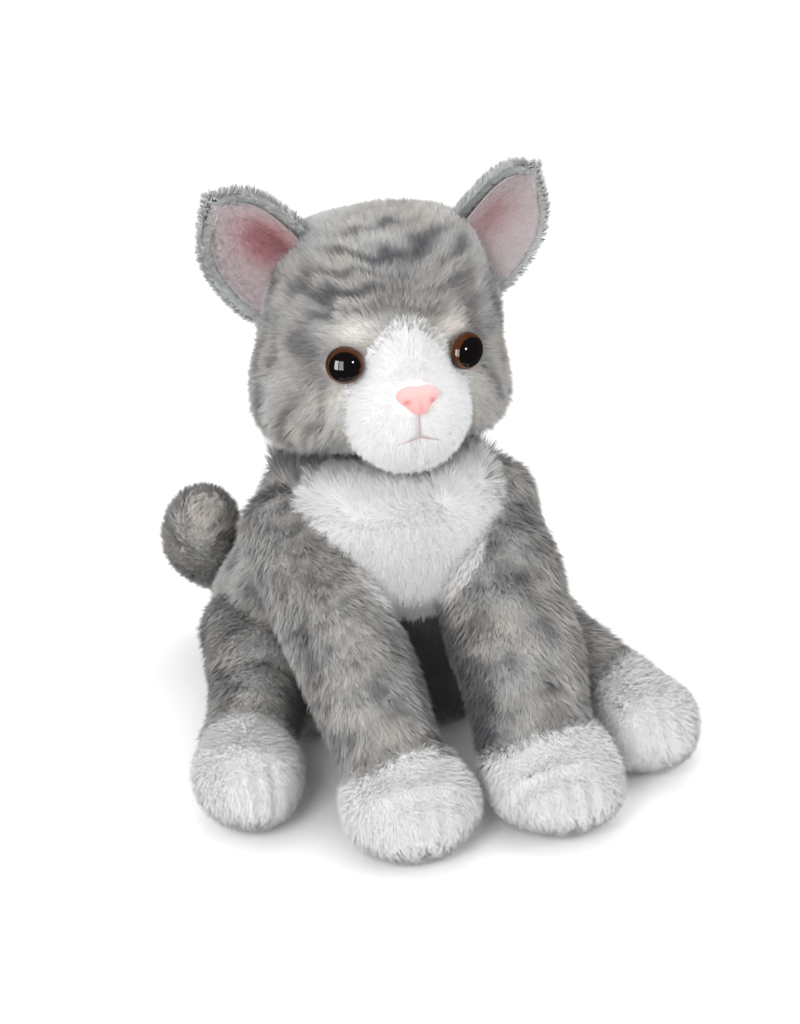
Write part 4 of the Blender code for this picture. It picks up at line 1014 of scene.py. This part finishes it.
FORELEG = [(*SHOULDER, 0.0240, 0.0240), (0.0480, -0.0380, 0.0920, 0.0270, 0.0260),
           (0.0415, -0.0780, 0.0660, 0.0290, 0.0270), (0.0370, -0.1130, 0.0400, 0.0270, 0.0235),
           (0.0355, -0.1300, 0.0285, 0.0325, 0.0220), (0.0350, -0.1440, 0.0220, 0.0325, 0.0220),
           (0.0345, -0.1550, 0.0205, 0.0245, 0.0165), (0.0342, -0.1605, 0.0198, 0.0155, 0.0100),
           (0.0340, -0.1630, 0.0195, 0.0065, 0.0055)]
HINDLEG = [(*HIP, 0.0300, 0.0300), (0.0650, -0.0090, 0.0385, 0.0290, 0.0290),
           (0.0755, -0.0400, 0.0340, 0.0260, 0.0260), (0.0880, -0.0690, 0.0290, 0.0235, 0.0225),
           (0.0920, -0.0840, 0.0255, 0.0270, 0.0230), (0.0955, -0.0970, 0.0230, 0.0265, 0.0230),
           (0.0980, -0.1080, 0.0220, 0.0195, 0.0175), (0.0990, -0.1135, 0.0215, 0.0115, 0.0105),
           (0.0995, -0.1160, 0.0212, 0.0065, 0.0055)]
TAIL = [(*TAIL_ROOT, TAIL_RADIUS, TAIL_RADIUS),
        (-0.0280, TORSO_BACK + 0.0080, 0.0340, TAIL_RADIUS, TAIL_RADIUS),
        (-0.0560, TORSO_BACK + 0.0070, 0.0460, TAIL_RADIUS, TAIL_RADIUS),
        (-0.0740, TORSO_BACK - 0.0080, 0.0660, TAIL_RADIUS, TAIL_RADIUS),
        (-0.0770, TORSO_BACK - 0.0220, 0.0840, TAIL_RADIUS - 0.0010, TAIL_RADIUS - 0.0010),
        (-0.0770, TORSO_BACK - 0.0290, 0.0940, 0.0150, 0.0150),
        (-0.0768, TORSO_BACK - 0.0320, 0.0985, 0.0070, 0.0070)]
TAIL_SHIFT = [(0, 0, 0, 0, 0)] * 2 + [(0.002, 0, -0.001, 0, 0)] + [(0.003, 0, -0.003, 0.0006, 0.0006)] * 4
TAIL = np.array(TAIL) + np.array(TAIL_SHIFT)
SIDEWAYS, UPWARD = np.array([1.0, 0.0, 0.0]), np.array([0.0, 0.0, 1.0])
FORE_WRIST, HIND_WRIST = 3.5, 3.0  # station at which the white paw begins


def limb_comb(stations):
    stations = np.array(stations)

    def comb(p, n, s):
        k = np.clip(s, 0.0, len(stations) - 1.0)
        along = unit(spline(stations, k + 0.1)[:, :3] - spline(stations, k - 0.1)[:, :3])
        return along + np.array([0.0, 0.0, -0.2])
    return comb


for m, label in ((-1.0, "right"), (1.0, "left")):
    flip = np.array([m, 1.0, 1.0, 1.0, 1.0])
    for kind, table, root, seed in (("fore", FORELEG, FORE_ROOT, 130), ("hind", HINDLEG, HIND_ROOT, 140)):
        stations = np.array(table) * flip
        if kind == "fore":
            stations[1:, 0] += FORELEG_SWAY * np.minimum(1.0, (SHOULDER[1] - stations[1:, 1]) / 0.120)
            full = np.array([0.0045, 0.0045, 0.0035, 0.0015]) if m > 0 else np.zeros(4)
            stations[1:5, 3] += full
            stations[1:5, 0] -= full * m
        elif m > 0:
            share = np.minimum(1.0, (HIP[1] - stations[1:, 1]) / 0.100)
            stations[1:, 0] += 0.6 * HINDLEG_REACH * share
            stations[1:, 1] -= HINDLEG_REACH * share
        wrist = FORE_WRIST if kind == "fore" else HIND_WRIST
        body = kind + "leg_" + label
        last = len(stations) - 1.0
        comb = limb_comb(stations)
        shift = seed + (3 if m > 0 else 0)

        def leg_tone(p, n, s, shift=shift, m=m):
            tone = 0.51 + 0.065 * waves(p, 0.026, shift) + 0.04 * waves(p, 0.010, shift + 1)
            tone = tone + 0.03 * waves(p, 0.005, shift + 4)
            tone = tone + stripes(s * 0.040, p, shift + 2, 0.0165, 0.28)
            # painted shade: the sides of the legs that face the other legs are darkened low down
            if n is not None:
                tone = tone - 0.32 * ease(-n[:, 0] * m, 0.45, 0.90) * ease(0.088 - p[:, 2], 0.0, 0.02)
            return tone + (1.1 - tone) * bib_edge(p)

        def leg_keep(p, n, s):
            inside = (s < -0.05) * (np.abs(p[:, 0]) < 0.030)
            return 1.0 - inside * 1.0

        sleeve = limb_skin(stations, 0.0, wrist + 0.10, SIDEWAYS, root)
        wob = 0.0007 * waves(sleeve[0], 0.035, shift + 5)
        sleeve = reshape(sleeve, sleeve[2] * wob[:, None])
        dress(body + "_backing", sleeve, GREY_SKIN, body, toned(leg_tone, sleeve),
              (body + "_cover", body + "_filling"))
        fur(body + "_pile", sleeve, body, GREY_FUR, 3.2, 0.0080, 60.0, comb, leg_tone,
            leg_keep, seed=shift, pace=0.040)
        foot = kind + "paw_" + label
        paw = limb_skin(stations, wrist - 0.05, last, SIDEWAYS, None, 50, lift=-0.0040, tip=0.0015)
        v = paw[0]
        mid = stations[5][:3]
        toes = np.zeros(len(v))
        for k in (-0.0085, 0.0, 0.0085):
            toes = toes + bell(v[:, 0] - mid[0], k, 0.0026)
        toes = toes * ease(-(v[:, 1] - mid[1]), -0.004, 0.014) * ease(v[:, 2], 0.002, 0.018)
        paw = reshape(paw, -paw[2] * (0.0013 * toes - 0.0005 * waves(v, 0.03, shift + 6))[:, None])

        def paw_tone(p, n, s):
            return 0.66 + 0.10 * waves(p, 0.018, 91)

        def paw_comb(p, n, s, comb=comb):
            return comb(p, n, s) + np.array([0.0, 0.0, -0.25])

        dress(foot + "_backing", paw, WHITE_SKIN, body, toned(paw_tone, paw),
              (foot + "_cover", foot + "_filling"))
        fur(foot + "_pile", paw, body, WHITE_FUR, 5.5, 0.0056, 46.0, paw_comb, paw_tone,
            None, width=0.00034, seed=shift + 20, sway=0.35, pull=0.25, stray=0.25)

tail_s = limb_skin(TAIL, 0.0, len(TAIL) - 1.0, UPWARD, TAIL_RADIUS, 80, tip=0.001)


def tail_tone(p, n, s):
    tone = 0.78 + 0.06 * waves(p, 0.026, 151) + 0.04 * waves(p, 0.010, 152)
    return tone + stripes(s * 0.030 + 0.25 * p[:, 0], p, 153, 0.026, 0.44)


dress("tail_backing", tail_s, GREY_SKIN, "tail", toned(tail_tone, tail_s),
      ("tail_cover", "tail_filling"))
fur("tail_pile", tail_s, "tail", GREY_FUR, 3.2, 0.0085, 58.0, limb_comb(TAIL), tail_tone,
    lambda p, n, s: (s > -0.4) * 1.0, seed=150, pace=0.030)

# ---------------------------------------------------------------- floor, light and camera
floor_mesh = bpy.data.meshes.new("floor")
floor_mesh.from_pydata([(-4, -4, 0), (4, -4, 0), (4, 4, 0), (-4, 4, 0)], [], [(0, 1, 2, 3)])
mat, add, ramp, mix, put, bump, place = nodes_of("pale_floor")
grain = add("TexNoise", {"Vector": place, "Scale": 60.0})
put(Base_Color=mix(grain.outputs["Fac"], (0.96, 0.96, 0.96), (0.98, 0.98, 0.98)), Roughness=0.9)
floor_mesh.materials.append(mat)
floor = bpy.data.objects.new("floor", floor_mesh)
bpy.context.scene.collection.objects.link(floor)
floor.visible_glossy = False


def area_light(name, place, aim, size, power):
    data = bpy.data.lights.new(name, "AREA")
    data.shape = "RECTANGLE"
    data.size, data.size_y = size
    data.energy = power
    ob = bpy.data.objects.new(name, data)
    ob.visible_glossy = False
    ob.location = place
    ob.rotation_euler = (Vector(aim) - Vector(place)).to_track_quat("-Z", "Y").to_euler()
    bpy.context.scene.collection.objects.link(ob)


area_light("key", (-0.75, -1.05, 0.85), (0, 0, 0.15), (0.45, 0.60), 9.0)
area_light("fill", (1.10, -0.80, 0.70), (0, 0, 0.12), (0.8, 0.8), 2.0)
area_light("top", (0.1, 0.2, 1.4), (0, 0, 0.1), (1.0, 1.0), 3.0)

world = bpy.data.worlds.new("studio")
bpy.context.scene.world = world
world.use_nodes = True
wn = world.node_tree
wn.nodes.remove(wn.nodes["Background"])
path = wn.nodes.new("ShaderNodeLightPath")


def white_light(strength):
    node = wn.nodes.new("ShaderNodeBackground")
    node.inputs["Color"].default_value = (1.0, 1.0, 1.0, 1.0)
    node.inputs["Strength"].default_value = strength
    return node


def ray_switch(ray, usual, seen):
    """One light for rays of the named kind, and the usual one for the rest."""
    node = wn.nodes.new("ShaderNodeMixShader")
    for k, socket in enumerate((path.outputs[ray], usual.outputs[0], seen.outputs[0])):
        wn.links.new(socket, node.inputs[k])
    return node


def world_math(operation, *values):
    node = wn.nodes.new("ShaderNodeMath")
    node.operation = operation
    for k, value in enumerate(values):
        if isinstance(value, bpy.types.NodeSocket):
            wn.links.new(value, node.inputs[k])
        else:
            node.inputs[k].default_value = value
    return node.outputs[0]


def world_dot(sight, axis):
    node = wn.nodes.new("ShaderNodeVectorMath")
    node.operation = "DOT_PRODUCT"
    wn.links.new(sight, node.inputs[0])
    node.inputs[1].default_value = axis
    return node.outputs["Value"]


def pane(sight, centre, half_wide, half_high, power):
    """Brightness of a rectangular studio lamp seen in direction centre, for reflections in the eyes."""
    c = unit(centre)
    side = unit(np.cross(c, [0.0, 0.0, 1.0]))
    up = np.cross(side, c)
    across = world_math("ABSOLUTE", world_dot(sight, side))
    above = world_math("ABSOLUTE", world_dot(sight, up))
    inside = world_math("MULTIPLY", world_math("LESS_THAN", across, half_wide),
                        world_math("LESS_THAN", above, half_high))
    ahead = world_math("GREATER_THAN", world_dot(sight, c), 0.0)
    return world_math("MULTIPLY", world_math("MULTIPLY", inside, ahead), power)


sight = wn.nodes.new("ShaderNodeTexCoord").outputs["Generated"]
lamps = world_math("ADD", pane(sight, (-0.86, -0.50, -0.02), 0.15, 0.32, 15.0),
                   pane(sight, (-0.62, -0.78, -0.02), 0.15, 0.32, 8.0))
lamps = world_math("ADD", lamps, pane(sight, (0.258, -0.932, 0.257), 0.07, 0.07, 40.0))
usual = white_light(1.07)
dim = white_light(0.0)
wn.links.new(world_math("ADD", lamps, 0.06), dim.inputs["Strength"])
gloss = ray_switch("Is Glossy Ray", usual, dim)
sky = ray_switch("Is Camera Ray", gloss, white_light(1.0))
wn.links.new(sky.outputs[0], wn.nodes["World Output"].inputs["Surface"])
bpy.context.scene.view_settings.view_transform = "Standard"

camera = bpy.data.cameras.new("camera")
camera.sensor_fit = "HORIZONTAL"
camera.sensor_width = 36.0
camera.lens = 119.84
camera.clip_start = 0.05
eye = bpy.data.objects.new("camera", camera)
eye.location = (-0.35516, -1.11950, 0.64640)
eye.rotation_euler = (Vector((-0.004425, -0.04, 0.122778)) - eye.location).to_track_quat("-Z", "Y").to_euler()
bpy.context.scene.collection.objects.link(eye)
bpy.context.scene.camera = eye
